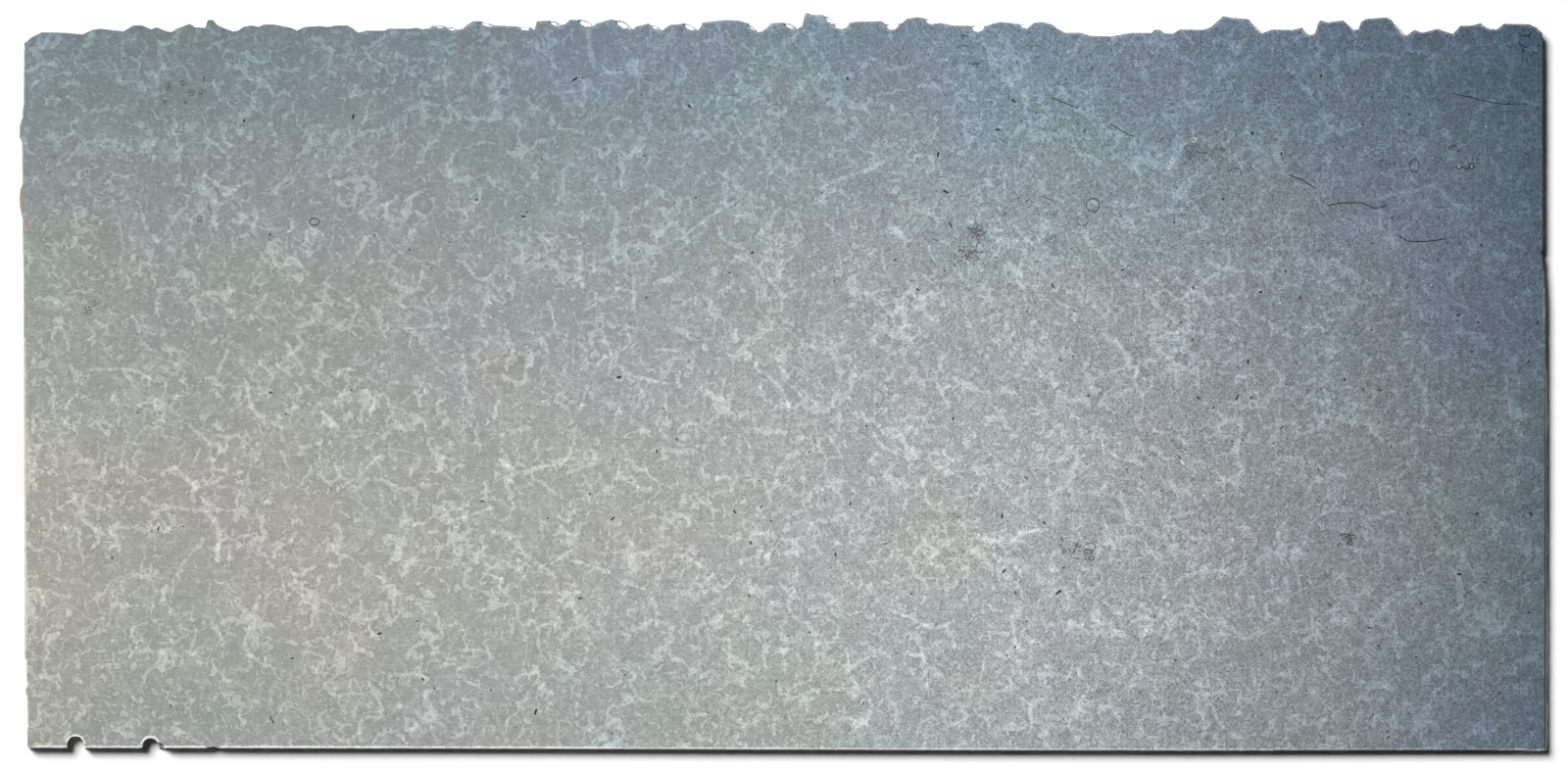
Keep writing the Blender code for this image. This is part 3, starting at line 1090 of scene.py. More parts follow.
# The tone, the width, the strength, the height and the points of each colour on an edge.
EDGE_TINGES = tuple(
    Trace(points, width, strength, Mark.TINGE, tone, height)
    for tone, width, strength, height, points in (
        (Tone.CHALK, 5.0, 0.6, 20.0, ((-2, 1240), (-3, 1230))),
        (Tone.RUST, 7.0, 0.7, 19.0, ((-8, 1222), (-9, 1205), (-7, 1194))),
        (Tone.TAN, 8.0, 0.8, 20.0, ((-4, 1186), (-3, 1145), (-3, 1104))),
        (Tone.RUST, 9.0, 1.0, 19.0, ((-6, 1092), (-9, 1076), (-7, 1056))),
        (Tone.ROSE, 9.0, 0.9, 20.0, ((-2, 1042), (-1, 1012))),
        # Painted shade in a notch of the left end.
        (Tone.NOTCH_SHADE, 3.5, 1.0, 19.0, ((-2, 1005), (0, 1004))),
        (Tone.TAN, 6.0, 0.6, 20.0, ((-1, 990), (0, 880), (0, 800))),
        (Tone.CREAM, 12.0, 0.6, 20.0, ((2, 800), (2, 700), (3, 620))),
        (Tone.CREAM, 17.0, 0.75, 20.0, ((3, 640), (4, 560), (4, 500))),
        (Tone.CHALK, 5.0, 0.7, 20.0, ((4, 500), (5, 400), (6, 300), (6, 190))),
        (Tone.LIME, 9.0, 1.0, 19.0, ((3, 170), (4, 120))),
        (Tone.LIME, 8.0, 1.0, 19.0, ((5, 100), (7, 40))),
        (Tone.LIME, 6.0, 1.0, 19.0, ((6, -2), (14, -3), (22, -2))),
        # The painted highlight along the lower edge.
        *((tone, 8.0, strength, 20.0, ((start, y), (end, y)))
          for tone, strength, y, start, end in LOWER_EDGE_HIGHLIGHTS),
        # Painted highlight round the drill holes.
        *((Tone.WHITE, 5.0, 0.8, 20.0, tuple(
            (x + DRILL_HOLE_TINGE * math.cos(turn), y + DRILL_HOLE_TINGE * math.sin(turn))
            for turn in (0.25, 0.7, 1.2, 1.7, 2.2, 2.8)
        )) for x, y in DRILL_HOLES),
        (Tone.CHALK, 4.0, 1.0, 19.0, ((2433, -2), (2441, -2))),
        (Tone.CHALK, 4.0, 1.0, 19.0, ((2693, -2), (2700, -2))),
        # Painted light: the chalk lightens the right wall, which faces away from the lamp and lies
        # in shade.
        (Tone.CHALK, 18.0, 0.6, 10.0, ((2979, 1390), (2980, 1180), (2978, 990))),
        (Tone.CHALK, 22.0, 1.0, 10.0, ((2986, 940), (2989, 800), (2991, 620))),
        (Tone.CHALK, 16.0, 0.8, 8.0, ((2990, 620), (2990, 4))),
        # Painted highlight on the pale fresh stone of the lower right arris and the lip, which lie
        # in the slab's shadow.
        (Tone.LIME, 6.0, 0.75, 19.0, ((2888, -2.8), (2930, -2.2), (2986, -3))),
        (Tone.LIME, 7.0, 1.0, 4.0, ((2989, 305), (2989, 143))),
        (Tone.LIME, 8.0, 1.0, 5.0, ((2989, 86), (2989, 8))),
        (Tone.LIME, 8.0, 1.0, 5.0, ((2935, -3), (2960, -4), (2988, -3))),
    )
)

# The middle, the radius and the strength of each patch of dark specks.
STAINS = (
    ((284, 1294), 11, 0.8), ((313, 1302), 10, 0.8), ((355, 1310), 7, 0.9),
    ((327, 1282), 9, 0.8), ((349, 1283), 9, 0.6), ((278, 1262), 9, 0.8),
    ((316, 1263), 6, 0.9), ((125, 857), 11, 0.6), ((142, 871), 10, 0.5),
    ((345, 1035), 9, 0.6), ((1869, 1012), 23, 0.8), ((1855, 969), 25, 0.8),
    ((2597, 410), 17, 0.9), ((2287, 1172), 18, 0.7), ((2770, 1156), 10, 0.7),
    ((2835, 1142), 10, 0.5), ((2086, 380), 13, 0.5), ((1840, 1395), 8, 0.7),
    ((1865, 1340), 9, 0.6), ((2065, 395), 12, 0.5), ((1825, 455), 14, 0.6),
    ((1220, 1310), 12, 0.5), ((2665, 1145), 14, 0.6), ((2015, 995), 16, 0.5),
)

# The fissures, the short pits and the round pits that lie at places of their own.
HOLLOWS = (
    Hollow(((2480, 1125), (2505, 1115), (2520, 1105), (2530, 1100)), 2.4, 1.2),
    Hollow(
        ((2555, 1065), (2585, 1070), (2620, 1070), (2635, 1065), (2650, 1060), (2670, 1065)),
        2.4, 1.2,
    ),
    Hollow(((2695, 1005), (2705, 1000), (2715, 995), (2750, 995), (2785, 1000)), 2.4, 1.2),
    Hollow(((2800, 1285), (2845, 1275), (2890, 1265), (2945, 1265)), 1.8, 0.8),
    Hollow(((2015, 1275), (2040, 1265), (2065, 1255)), 2.2, 1.0),
    Hollow(((2130, 1225), (2145, 1215), (2160, 1205), (2175, 1200)), 2.2, 1.0),
    Hollow(((2933, 1399), (2942, 1398), (2950, 1398)), 2.4, 1.2),
    Hollow(((2954, 1404), (2948, 1398), (2952, 1392)), 2.4, 1.2),
    Hollow(((2931, 1386), (2933, 1381), (2939, 1378), (2942, 1375), (2946, 1377)), 2.4, 1.2),
    Hollow(((2937, 1374), (2939, 1365)), 2.6, 1.4),
    Hollow(((2944, 1355), (2946, 1346)), 2.2, 1.2),
    Hollow(((2955, 1368), (2961, 1365), (2968, 1364)), 2.2, 1.2),
    Hollow(((482, 696), (488, 694)), 3.0), Hollow(((1687, 400), (1693, 401)), 2.6),
    Hollow(((1962, 532), (1968, 528)), 2.6), Hollow(((2711, 1245), (2717, 1243)), 2.4),
    Hollow(((2621, 1226), (2627, 1222)), 2.4), Hollow(((2636, 238), (2642, 236)), 2.4),
    Hollow(((2559, 283), (2565, 279)), 2.6), Hollow(((2264, 573), (2269, 566)), 2.2),
    *(Hollow((point,), 3.6, 2.2) for point in (
        (195, 1350), (1210, 1280), (835, 990), (1235, 920), (1465, 445), (2758, 345),
        (2760, 906), (2585, 1180), (2641, 1279), (1924, 1048),
    )),
    *(Hollow((point,), 2.8, 1.8) for point in (
        (2800, 400), (2890, 100), (1865, 1185), (2175, 1125), (1925, 1060), (2705, 1280),
        (2587, 1312), (2914, 720), (2923, 890), (2362, 707), (2581, 604), (2679, 731),
        (1162, 1328), (2236, 359), (981, 1074), (1310, 994), (935, 1030), (50, 1126),
        (2293, 1194), (2410, 675),
    )),
)

# The fresh pale scars of the broken edge, whose white is brightened into a painted highlight: where
# each lies along the slab, and its length.
FRESH_SPALLS = (
    (815, 20), (838, 20), (908, 30), (986, 34), (1042, 27), (1102, 34), (1178, 40), (1239, 22),
    (1308, 30), (1428, 20), (1503, 24), (1579, 22), (1601, 26), (1700, 24), (1774, 18),
    (1868, 26), (1960, 16), (2520, 12), (2868, 14),
)
# Scars beyond this have the painted shade of their outline on their left only.
OPEN_SCARS_FROM_MM = 1550.0
# How far a scar reaches from its middle, and how far its dark left end keeps from it, as shares
# of its length.
SCAR_REACH = 0.65
SCAR_DARK_END = 0.2
# How level its triangles lie, at least, and how far above the underside they end.
SCAR_LEAN = 0.15
SCAR_FOOT = 3.0 * MM


def scarred(normal: Vector, place: Vector) -> bool:
    """Whether a triangle belongs to a scar that a flake left on the broken edge.

    Args:
        normal: The triangle's normal.
        place: Its middle.

    Returns:
        Whether it does.
    """
    plan_x, plan_y = plan(place)
    return (
        normal.z > SCAR_LEAN and SCAR_FOOT < place.z < THICKNESS - HAIR
        and plan_y > BROKEN_FROM_MM
        and any(abs(plan_x - middle) < SCAR_REACH * length for middle, length in FRESH_SPALLS)
    )


@dataclass
class FaceMarks:
    """Everything that is marked on the slab: burrows, lines, stains, tinges, pits and fissures.

    Attributes:
        traces: The burrows, the dark lines, the spots and the colours of the edges.
        hollows: The pits and fissures.
        stains: The middle, the radius and the strength of each stain.
        small_pits: How many small pits are spread over the face.
        pits_along: Where they begin and end along the slab, in plan millimetres.
        pits_across: Where they begin and end across it.
        smallest_pit: The width of the smallest of them, in millimetres.
        largest_pit: The width of the largest of them, in millimetres.
        tailed: The share of them that are drawn out into a tail.
        tails: The shortest tail, in millimetres, and the longest, as a share of the width.
        pit_depth: How deep they are, as a share of the width.
        longest_step: The longest edge of a triangle that a hollow sinks, in millimetres.
        dark_rim: How strongly the outermost points of the broken edge are darkened, as painted
            shade of the broken wall beyond them.
        pale_rim: How strongly the strip inside them is whitened.
        pale_rim_width: How wide that strip is, in millimetres.
        pale_rim_from: Where along the slab that strip begins, in plan millimetres.
        scar_outline: How wide the painted shade on the outline of a scar is, in millimetres.
        scar_line: Where it has wholly passed into the scar's white, in millimetres.
        crest_end: How far from the middle of the slab all this reaches, in metres.
        seed: What the small pits are drawn from.
    """

    traces: tuple[Trace, ...] = BURROWS + DARK_LINES + WHITE_SPOTS + EDGE_TINGES
    hollows: tuple[Hollow, ...] = HOLLOWS
    stains: tuple[tuple[Point, float, float], ...] = STAINS
    small_pits: int = 420
    pits_along: tuple[float, float] = (10.0, 2970.0)
    pits_across: tuple[float, float] = (15.0, 1385.0)
    smallest_pit: float = 2.0
    largest_pit: float = 4.6
    tailed: float = 0.4
    tails: tuple[float, float] = (1.0, 2.5)
    pit_depth: float = 0.7
    longest_step: float = 3.2
    dark_rim: float = 0.35
    pale_rim: float = 0.28
    pale_rim_width: float = 2.8
    pale_rim_from: float = 790.0
    scar_outline: float = 1.2
    scar_line: float = 3.4
    crest_end: float = 1.484
    seed: int = 5

    def __post_init__(self) -> None:
        """Adds the small pits, which lie more thickly to the right."""
        chance = random.Random(self.seed)
        left, right = self.pits_along
        shortest, longest = self.tails
        pits = []
        while len(pits) < self.small_pits:
            x = left + (right - left) * chance.random() ** 0.5
            y = chance.uniform(*self.pits_across)
            width = chance.triangular(self.smallest_pit, self.largest_pit, self.smallest_pit)
            tail = chance.uniform(0.0, longest * width) * (chance.random() < self.tailed)
            turn = chance.uniform(0.0, math.pi)
            points = ((x, y),)
            if tail > shortest:
                points += ((x + tail * math.cos(turn), y + tail * math.sin(turn)),)
            pits.append(Hollow(points, width, self.pit_depth * width))
        self.hollows = (*self.hollows, *pits)

    def points(self) -> list[Vector]:
        """The points that the honed face needs for the marks to show on it.

        Returns:
            Those along each mark and beside it, in the frame.
        """
        points = []
        for hollow in self.hollows:
            line = hollow.line(step=2.0 * MM)
            points += [*line, *beside(line, 0.55 * hollow.reach), *beside(line, hollow.reach)]
        for trace in self.traces:
            line = trace.line(step=max(0.45 * trace.reach, 1.5 * MM))
            points += [*line, *beside(line, trace.reach)]
        for centre, radius, _ in self.stains:
            for share in (1.0, 0.5):
                points += beside([placed(centre)], share * radius * MM)
        return points

    def write(self, mesh: bpy.types.Mesh) -> None:
        """Writes the marks on a mesh as attributes of its vertices.

        Args:
            mesh: The slab's mesh.
        """
        count = len(mesh.vertices)
        near = finder([vert.co for vert in mesh.vertices])
        shares = {mark: [0.0] * count for mark in Mark}
        tones = [(1.0, 1.0, 1.0)] * count
        for trace in self.traces:
            share = shares[trace.mark]
            for point in trace.line(step=max(0.25 * trace.reach, 0.5 * MM)):
                for _, index, distance in near.find_range(point, trace.reach):
                    value = trace.strength * (1.0 - distance / trace.reach)
                    if value > share[index]:
                        share[index] = value
                        if trace.mark is Mark.TINGE:
                            tones[index] = trace.tone.value
        for centre, radius, strength in self.stains:
            for _, index, distance in near.find_range(placed(centre), radius * MM):
                share = shares[Mark.STAIN]
                share[index] = max(share[index], strength * (1.0 - distance / (radius * MM)))
        for index, (value, tone) in self.crest(mesh).items():
            if value > shares[Mark.TINGE][index]:
                shares[Mark.TINGE][index] = value
                tones[index] = tone
        for mark, share in shares.items():
            mesh.attributes.new(mark.value, "FLOAT", "POINT").data.foreach_set("value", share)
        colours = mesh.attributes.new(TINGE_TONE, "FLOAT_COLOR", "POINT")
        colours.data.foreach_set("color", [part for tone in tones for part in (*tone, 1.0)])

    def crest(self, mesh: bpy.types.Mesh) -> dict[int, tuple[float, Colour]]:
        """How the broken edge is coloured: painted shade on its rim, pale inside it, and white on
        its scars.

        Args:
            mesh: The slab's mesh.

        Returns:
            The strength and the tone at each vertex that has one.
        """
        walls, scars, honed = set(), set(), set()
        for face in mesh.polygons:
            if scarred(face.normal, face.center):
                scars.update(face.vertices)
            elif face.material_index == Face.HONED.value:
                honed.update(face.vertices)
            else:
                walls.update(face.vertices)
        places = [vert.co for vert in mesh.vertices]
        broken = {
            index for index in walls | scars | honed
            if plan(places[index])[1] > BROKEN_FROM_MM and abs(places[index].x) < self.crest_end
        }
        rim = finder([places[index] for index in honed & (walls | scars) & broken])
        outline = finder([places[index] for index in walls & broken])
        tinges = {}
        for index in broken:
            place = places[index]
            if index in scars and place.z < THICKNESS - HAIR:
                tinges[index] = (1.0, self.scar_tone(place, outline.find(place)[2]))
            elif index in honed:
                inside = rim.find(place)[2]
                if inside < HAIR:
                    # Painted shade: the rim of the face is darkened for the shaded broken wall just
                    # beyond it.
                    tinges[index] = (self.dark_rim, Tone.SLATE.value)
                elif inside < self.pale_rim_width * MM and plan(place)[0] > self.pale_rim_from:
                    tinges[index] = (self.pale_rim, Tone.CHALK.value)
        return tinges

    def scar_tone(self, place: Vector, inside: float) -> Colour:
        """The colour of a scar at a place: painted shade on its outline, and within it the white of
        fresh stone brightened into a painted highlight.

        Args:
            place: The place.
            inside: How far it lies from the outline, in metres.

        Returns:
            The colour.
        """
        plan_x = plan(place)[0]
        clear = eased(inside, self.scar_outline * MM, self.scar_line * MM)
        if any(
            middle > OPEN_SCARS_FROM_MM
            and -SCAR_DARK_END * length < plan_x - middle < SCAR_REACH * length
            for middle, length in FRESH_SPALLS
        ):
            clear = 1.0
        return tuple(Vector(Tone.SLATE.value).lerp(Vector(Tone.LIME.value), clear))

    def sunk(self, mesh: bpy.types.Mesh) -> None:
        """Writes how deep each vertex lies in a hollow, and which triangles lie within one.

        Args:
            mesh: The slab's mesh.
        """
        depths = [0.0] * len(mesh.vertices)
        held = [False] * len(mesh.vertices)
        within = [False] * len(mesh.polygons)
        corners = finder([vert.co for vert in mesh.vertices])
        middles = finder([face.center for face in mesh.polygons])
        for hollow in self.hollows:
            for point in hollow.line(step=0.2 * hollow.reach):
                for _, index, distance in corners.find_range(point, 1.03 * hollow.reach):
                    depth = hollow.depth * MM * (1.0 - (distance / hollow.reach) ** 2)
                    depths[index] = max(depths[index], depth)
                    held[index] = True
                for _, index, _ in middles.find_range(point, hollow.reach):
                    within[index] = True
        for edge in mesh.edges:
            first, second = edge.vertices
            length = (mesh.vertices[first].co - mesh.vertices[second].co).length
            if not (held[first] and held[second]) or length > self.longest_step * MM:
                depths[first] = depths[second] = 0.0
        pitted = [
            inside and all(held[index] for index in face.vertices)
            for inside, face in zip(within, mesh.polygons)
        ]
        mesh.attributes.new("sunk", "FLOAT", "POINT").data.foreach_set("value", depths)
        mesh.attributes.new("pitted", "BOOLEAN", "FACE").data.foreach_set("value", pitted)


# ------------------------------------------------------------------------------------------
# The slab
# ------------------------------------------------------------------------------------------


@dataclass
class FractureRelief:
    """Roughens the slab's walls inwards, most of all where the stone was broken.

    Attributes:
        swell: How deep the broad facets are, in metres.
        swell_scale: How many of them there are to a metre.
        grit: How deep the fine ones are.
        grit_scale: How many of them there are to a metre.
        wear: How deep the nicks of the worn edges are.
        wear_scale: How many of them there are to a metre.
    """

    swell: float = 0.0022
    swell_scale: float = 38.0
    grit: float = 0.0007
    grit_scale: float = 170.0
    wear: float = 0.0015
    wear_scale: float = 60.0

    def tree(self) -> bpy.types.NodeTree:
        """The relief as a node tree with named inputs."""
        wiring = Wiring.grouped(
            "fracture_relief", "GeometryNodeTree",
            {"Walls": "Geometry", "Swell": "Float", "Swell Scale": "Float", "Grit": "Float",
             "Grit Scale": "Float", "Wear": "Float", "Wear Scale": "Float", "Finish": "Material"},
            {"Walls": "Geometry"},
        )
        given = wiring.given()
        place = wiring.add("GeometryNodeInputPosition").outputs[0]
        swell = wiring.noise(place, given["Swell Scale"], detail=2.0)
        swell = wiring.product(swell, given["Swell"])
        grit = wiring.noise(place, given["Grit Scale"], detail=3.0)
        grit = wiring.product(grit, given["Grit"])
        total = wiring.product(wiring.maths("ADD", swell, grit), wiring.carried("broken"))
        nicks = wiring.noise(place, given["Wear Scale"], detail=3.0, roughness=0.6)
        nicks = wiring.eased(nicks, low=0.42, high=0.74)
        nicks = wiring.product(nicks, given["Wear"], wiring.carried("worn"))
        total = wiring.maths("ADD", total, nicks)
        offset = wiring.arrows("SCALE", wiring.carried("inward", "FLOAT_VECTOR"), Scale=total)
        shifted = wiring.shifted(given["Walls"], offset)
        wiring.put_out(Walls=wiring.dressed(shifted, given["Finish"]))
        return wiring.tree


@dataclass
class SunkenMarks:
    """Lets the honed face down into its pits and fissures, and gives them their dark finish of
    painted shade.
    """

    depth_scale: float = 1.0

    def tree(self) -> bpy.types.NodeTree:
        """The pits and fissures as a node tree with named inputs."""
        wiring = Wiring.grouped(
            "sunken_marks", "GeometryNodeTree",
            {"Slab": "Geometry", "Depth Scale": "Float", "Finish": "Material"},
            {"Slab": "Geometry"},
        )
        given = wiring.given()
        drop = wiring.product(wiring.carried("sunk"), given["Depth Scale"], -1.0)
        offset = wiring.add("ShaderNodeCombineXYZ", {"Z": drop}).outputs[0]
        shifted = wiring.shifted(given["Slab"], offset)
        pitted = wiring.carried("pitted", "BOOLEAN")
        wiring.put_out(Slab=wiring.dressed(shifted, given["Finish"], pitted))
        return wiring.tree


def modified(
    mesh: bpy.types.Mesh, tree: bpy.types.NodeTree, settings: dict[str, float | bpy.types.Material]
) -> bpy.types.Mesh:
    """What a geometry node tree makes of a mesh.

    Args:
        mesh: The mesh, which is used up.
        tree: The tree.
        settings: What each of its named inputs is set to.

    Returns:
        A plain mesh.
    """
    obj = bpy.data.objects.new(tree.name, mesh)
    bpy.context.scene.collection.objects.link(obj)
    modifier = obj.modifiers.new(tree.name, "NODES")
    modifier.node_group = tree
    keys = {
        item.name: item.identifier
        for item in tree.interface.items_tree if item.in_out == "INPUT"
    }
    for name, setting in settings.items():
        modifier[keys[name]] = setting
    depsgraph = bpy.context.evaluated_depsgraph_get()
    result = bpy.data.meshes.new_from_object(obj.evaluated_get(depsgraph), depsgraph=depsgraph)
    obj.modifiers.remove(modifier)
    bpy.data.objects.remove(obj)
    return result


@dataclass
class LimestoneSlab:
    """The slab: its honed face, sawn sides and underside, and its broken edge.

    Attributes:
        arris: How wide the worn arris of a sawn side is. Lengths are in metres unless said.
        arris_lean: How level a triangle of it lies, at least.
        flat_turn: Faces of the solid that turn by less than this count as one, in degrees.
        wall_edge: The longest edge that the walls are cut into along the slab.
        wall_bay: How far apart the cuts through their large faces are.
        scar_edge: The longest edge of a triangle of a scar.
        shortest_edge: Vertices at the foot of the walls that lie nearer than this become one.
        rolled_edge: How far the lower arris is let down.
        rolled_end: How far from the middle of the slab that reaches.
        lower_band: How far up the slab the lower arris is searched for, in plan millimetres.
        lower_side: How far out the lower side is bowed, at points along it, in plan millimetres.
        bow_rows: Where that sets in and where it fades out, up the slab, in plan millimetres.
        lower_wear: How worn its arris is, as a share of the other sides'.
        sawn_relief: The relief of the sawn sides, as a share of the broken edge's.
        relief_drop: How far below the face the relief is whole.
        broken_end: How far from the middle of the slab the broken edge reaches.
        scar_swell: How far out a scar's bulb stands, as a share of its length.
        scar_drops: How far below the face the bulb begins and is whole.
        scar_way: Which way it stands out.
        scar_calm: How much of the relief a scar is without.
        sharp_turn: Edges that turn by more than this are sharp, in degrees.
        grid: How far apart the points of the honed face are.
        under_grid: How far apart those of the underside are.
        cell: Where in its cell of the grid a point may lie, as shares of the cell.
        clear_of_rim: How near the rim it may come, as a share of the grid.
        clear_of_bend: How near another part of the rim a point of a row may come, as a share of
            the row's own distance.
        rim_rows: How far inside the rim of the honed face each row of points lies.
        under_rows: How far inside the rim of the underside each lies.
        rim_depth: Open edges that lie within this of a height belong to the rim there.
        rim_gap: How near to the rim a mark's own points may come.
        point_gap: How near two points of a flat face may come.
        seed: What the points of the flat faces are drawn from.
    """

    arris: float = 0.0022
    arris_lean: float = 0.3
    flat_turn: float = 0.3
    wall_edge: float = 0.005
    wall_bay: float = 0.015
    scar_edge: float = 0.0018
    shortest_edge: float = 0.0003
    rolled_edge: float = 0.0006
    rolled_end: float = 1.48
    lower_band: float = 12.0
    lower_side: tuple[Point, ...] = (
        (0, 2.6), (900, 2.8), (1700, 4.3), (2300, 4.5), (2800, 2.4), (3000, 2.4)
    )
    bow_rows: tuple[Point, Point] = ((-3.2, -0.2), (1.0, 8.0))
    lower_wear: float = 0.3
    sawn_relief: float = 0.12
    relief_drop: float = 0.005
    broken_end: float = 1.486
    scar_swell: float = 0.17
    scar_drops: tuple[float, float] = (0.0002, 0.007)
    scar_way: tuple[float, float, float] = (0.5, 0.87, 0.0)
    scar_calm: float = 0.7
    sharp_turn: float = 32.0
    grid: float = 0.040
    under_grid: float = 0.080
    cell: tuple[float, float] = (0.2, 0.8)
    clear_of_rim: float = 0.5
    clear_of_bend: float = 0.93
    rim_rows: tuple[float, ...] = (0.0026, 0.0075)
    under_rows: tuple[float, ...] = (0.006,)
    rim_depth: float = 0.0005
    rim_gap: float = 0.001
    point_gap: float = 0.00015
    seed: int = 11

    def packed_solid(self) -> bmesh.types.BMesh:
        """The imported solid's walls, with its face and its underside taken off.

        Returns:
            The walls as large plain faces.
        """
        solid = bmesh.new()
        solid.from_mesh(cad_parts[NODE].data)
        for vert in solid.verts:
            for height in (0.0, THICKNESS):
                if abs(vert.co.z - height) < HAIR:
                    vert.co.z = height
        bmesh.ops.remove_doubles(solid, verts=solid.verts, dist=HAIR)
        flat = [
            face for face in solid.faces if len({vert.co.z for vert in face.verts}) == 1
            and (face.verts[0].co.z < HAIR or face.verts[0].co.z > THICKNESS - HAIR)
        ]
        bmesh.ops.delete(solid, geom=flat, context="FACES_ONLY")
        loose = [edge for edge in solid.edges if not edge.link_faces]
        bmesh.ops.delete(solid, geom=loose, context="EDGES")
        loose = [vert for vert in solid.verts if not vert.link_faces]
        bmesh.ops.delete(solid, geom=loose, context="VERTS")
        bmesh.ops.dissolve_limit(
            solid, angle_limit=math.radians(self.flat_turn), verts=solid.verts, edges=solid.edges,
            delimit=set(),
        )
        return solid

    def refined(self, solid: bmesh.types.BMesh) -> bmesh.types.BMesh:
        """Cuts the walls into triangles that are small enough to carry their relief.

        Args:
            solid: The walls.

        Returns:
            The same walls.
        """
        for axis, normal in ((0, (1.0, 0.0, 0.0)), (1, (0.0, 1.0, 0.0))):
            for cut in range(1, int((CAD_BOX[1][axis] - CAD_BOX[0][axis]) / self.wall_bay)):
                place = [CAD_BOX[0][axis] + cut * self.wall_bay] * 3
                bmesh.ops.bisect_plane(
                    solid, geom=[*solid.verts, *solid.edges, *solid.faces], dist=0.5 * HAIR,
                    plane_co=place, plane_no=normal,
                )
        pieces: dict[int, list[bmesh.types.BMEdge]] = {}
        for edge in solid.edges:
            pieces.setdefault(math.ceil(edge.calc_length() / self.wall_edge), []).append(edge)
        for count, edges in sorted(pieces.items()):
            if count > 1:
                bmesh.ops.subdivide_edges(solid, edges=edges, cuts=count - 1)
        bmesh.ops.triangulate(solid, faces=solid.faces)
        solid.normal_update()
        while self.scars_refined(solid):
            solid.normal_update()
        return solid

    def scars_refined(self, solid: bmesh.types.BMesh) -> bool:
        """Halves the long edges of the scars, one to a triangle.

        Args:
            solid: The walls.

        Returns:
            Whether there were any.
        """
        long = {
            edge for face in solid.faces if scarred(face.normal, face.calc_center_median())
            for edge in face.edges if edge.calc_length() > self.scar_edge
        }
        halved = set()
        for edge in sorted(long, key=lambda edge: (-edge.calc_length(), edge.index)):
            if not halved.isdisjoint(edge.link_faces):
                continue
            middle = bmesh.utils.edge_split(edge, edge.verts[0], 0.5)[1]
            for face in list(middle.link_faces):
                near = {vert for side in middle.link_edges for vert in side.verts}
                opposite = next(vert for vert in face.verts if vert not in near)
                halved.update((face, bmesh.utils.face_split(face, middle, opposite)[0]))
        solid.edges.index_update()
        return bool(long)

    def walls(self, finish: bpy.types.Material) -> bmesh.types.BMesh:
        """The slab's walls, with the relief that breaking and sawing left on them.

        Args:
            finish: The finish that they are given at first.

        Returns:
            The walls, open above and below.
        """
        solid = self.refined(self.packed_solid())
        broken = solid.verts.layers.float.new("broken")
        worn = solid.verts.layers.float.new("worn")
        inward = solid.verts.layers.float_vector.new("inward")
        for vert in solid.verts:
            plan_x, plan_y = plan(vert.co)
            rough = eased(plan_y, BROKEN_FROM_MM - 5.0, BROKEN_FROM_MM + 5.0)
            drop = THICKNESS - vert.co.z
            share = self.sawn_relief + (1.0 - self.sawn_relief) * rough
            vert[broken] = eased(drop, 0.0, self.relief_drop) * share
            vert[inward] = -Vector((vert.normal.x, vert.normal.y, 0.0)).normalized()
            if rough < 0.5 and drop < self.arris + HAIR:
                vert[worn] = self.lower_wear if plan_y < self.lower_band else 1.0
                if drop > self.arris - HAIR:
                    vert[broken] = 0.0
                    vert[inward] = (0.0, 0.0, -1.0)
                    if plan_y < self.lower_band and abs(vert.co.x) < self.rolled_end:
                        vert.co.z = THICKNESS - self.rolled_edge
            vert.co.y -= self.bow(plan_x, plan_y)
            for middle, length in FRESH_SPALLS:
                share = 1.0 - (2.0 * (plan_x - middle) / length) ** 2
                if rough > 0.5 and share > 0.0:
                    swell = self.scar_swell * length * MM * share * eased(drop, *self.scar_drops)
                    vert.co += Vector(self.scar_way) * swell
                    vert[broken] *= 1.0 - self.scar_calm * share
        mesh = bpy.data.meshes.new("walls")
        solid.to_mesh(mesh)
        solid.free()
        relief = FractureRelief()
        mesh = modified(mesh, relief.tree(), {
            "Swell": relief.swell, "Swell Scale": relief.swell_scale, "Grit": relief.grit,
            "Grit Scale": relief.grit_scale, "Wear": relief.wear, "Wear Scale": relief.wear_scale,
            "Finish": finish,
        })
        walls = bmesh.new()
        walls.from_mesh(mesh)
        foot = [vert for vert in walls.verts if vert.is_boundary and vert.co.z < self.rim_depth]
        bmesh.ops.remove_doubles(walls, verts=foot, dist=self.shortest_edge)
        return walls

    def bow(self, plan_x: float, plan_y: float) -> float:
        """How far out the lower side stands.

        Args:
            plan_x: A point along the slab, in plan millimetres.
            plan_y: The same point up the slab.

        Returns:
            The distance, in metres.
        """
        for (start, low), (end, high) in zip(self.lower_side, self.lower_side[1:]):
            if start <= plan_x < end:
                out = (low + (high - low) * (plan_x - start) / (end - start)) * MM
                setting_in, fading = self.bow_rows
                return out * (1.0 - eased(plan_y, *fading)) * eased(plan_y, *setting_in)
        return 0.0

    def rim(self, walls: bmesh.types.BMesh, height: float) -> list[bmesh.types.BMVert]:
        """The open rim of the walls at a height.

        Args:
            walls: The walls.
            height: The height.

        Returns:
            The vertices of the rim, in order.
        """
        around = [
            edge for edge in walls.edges if edge.is_boundary
            and all(abs(vert.co.z - height) < self.rim_depth for vert in edge.verts)
        ]
        first, edges = around[0], set(around)
        rim = [first.verts[0]]
        edge = first
        while edge in edges:
            edges.remove(edge)
            rim.append(edge.other_vert(rim[-1]))
            edge = next((other for other in rim[-1].link_edges if other in edges), None)
        return rim[:-1]

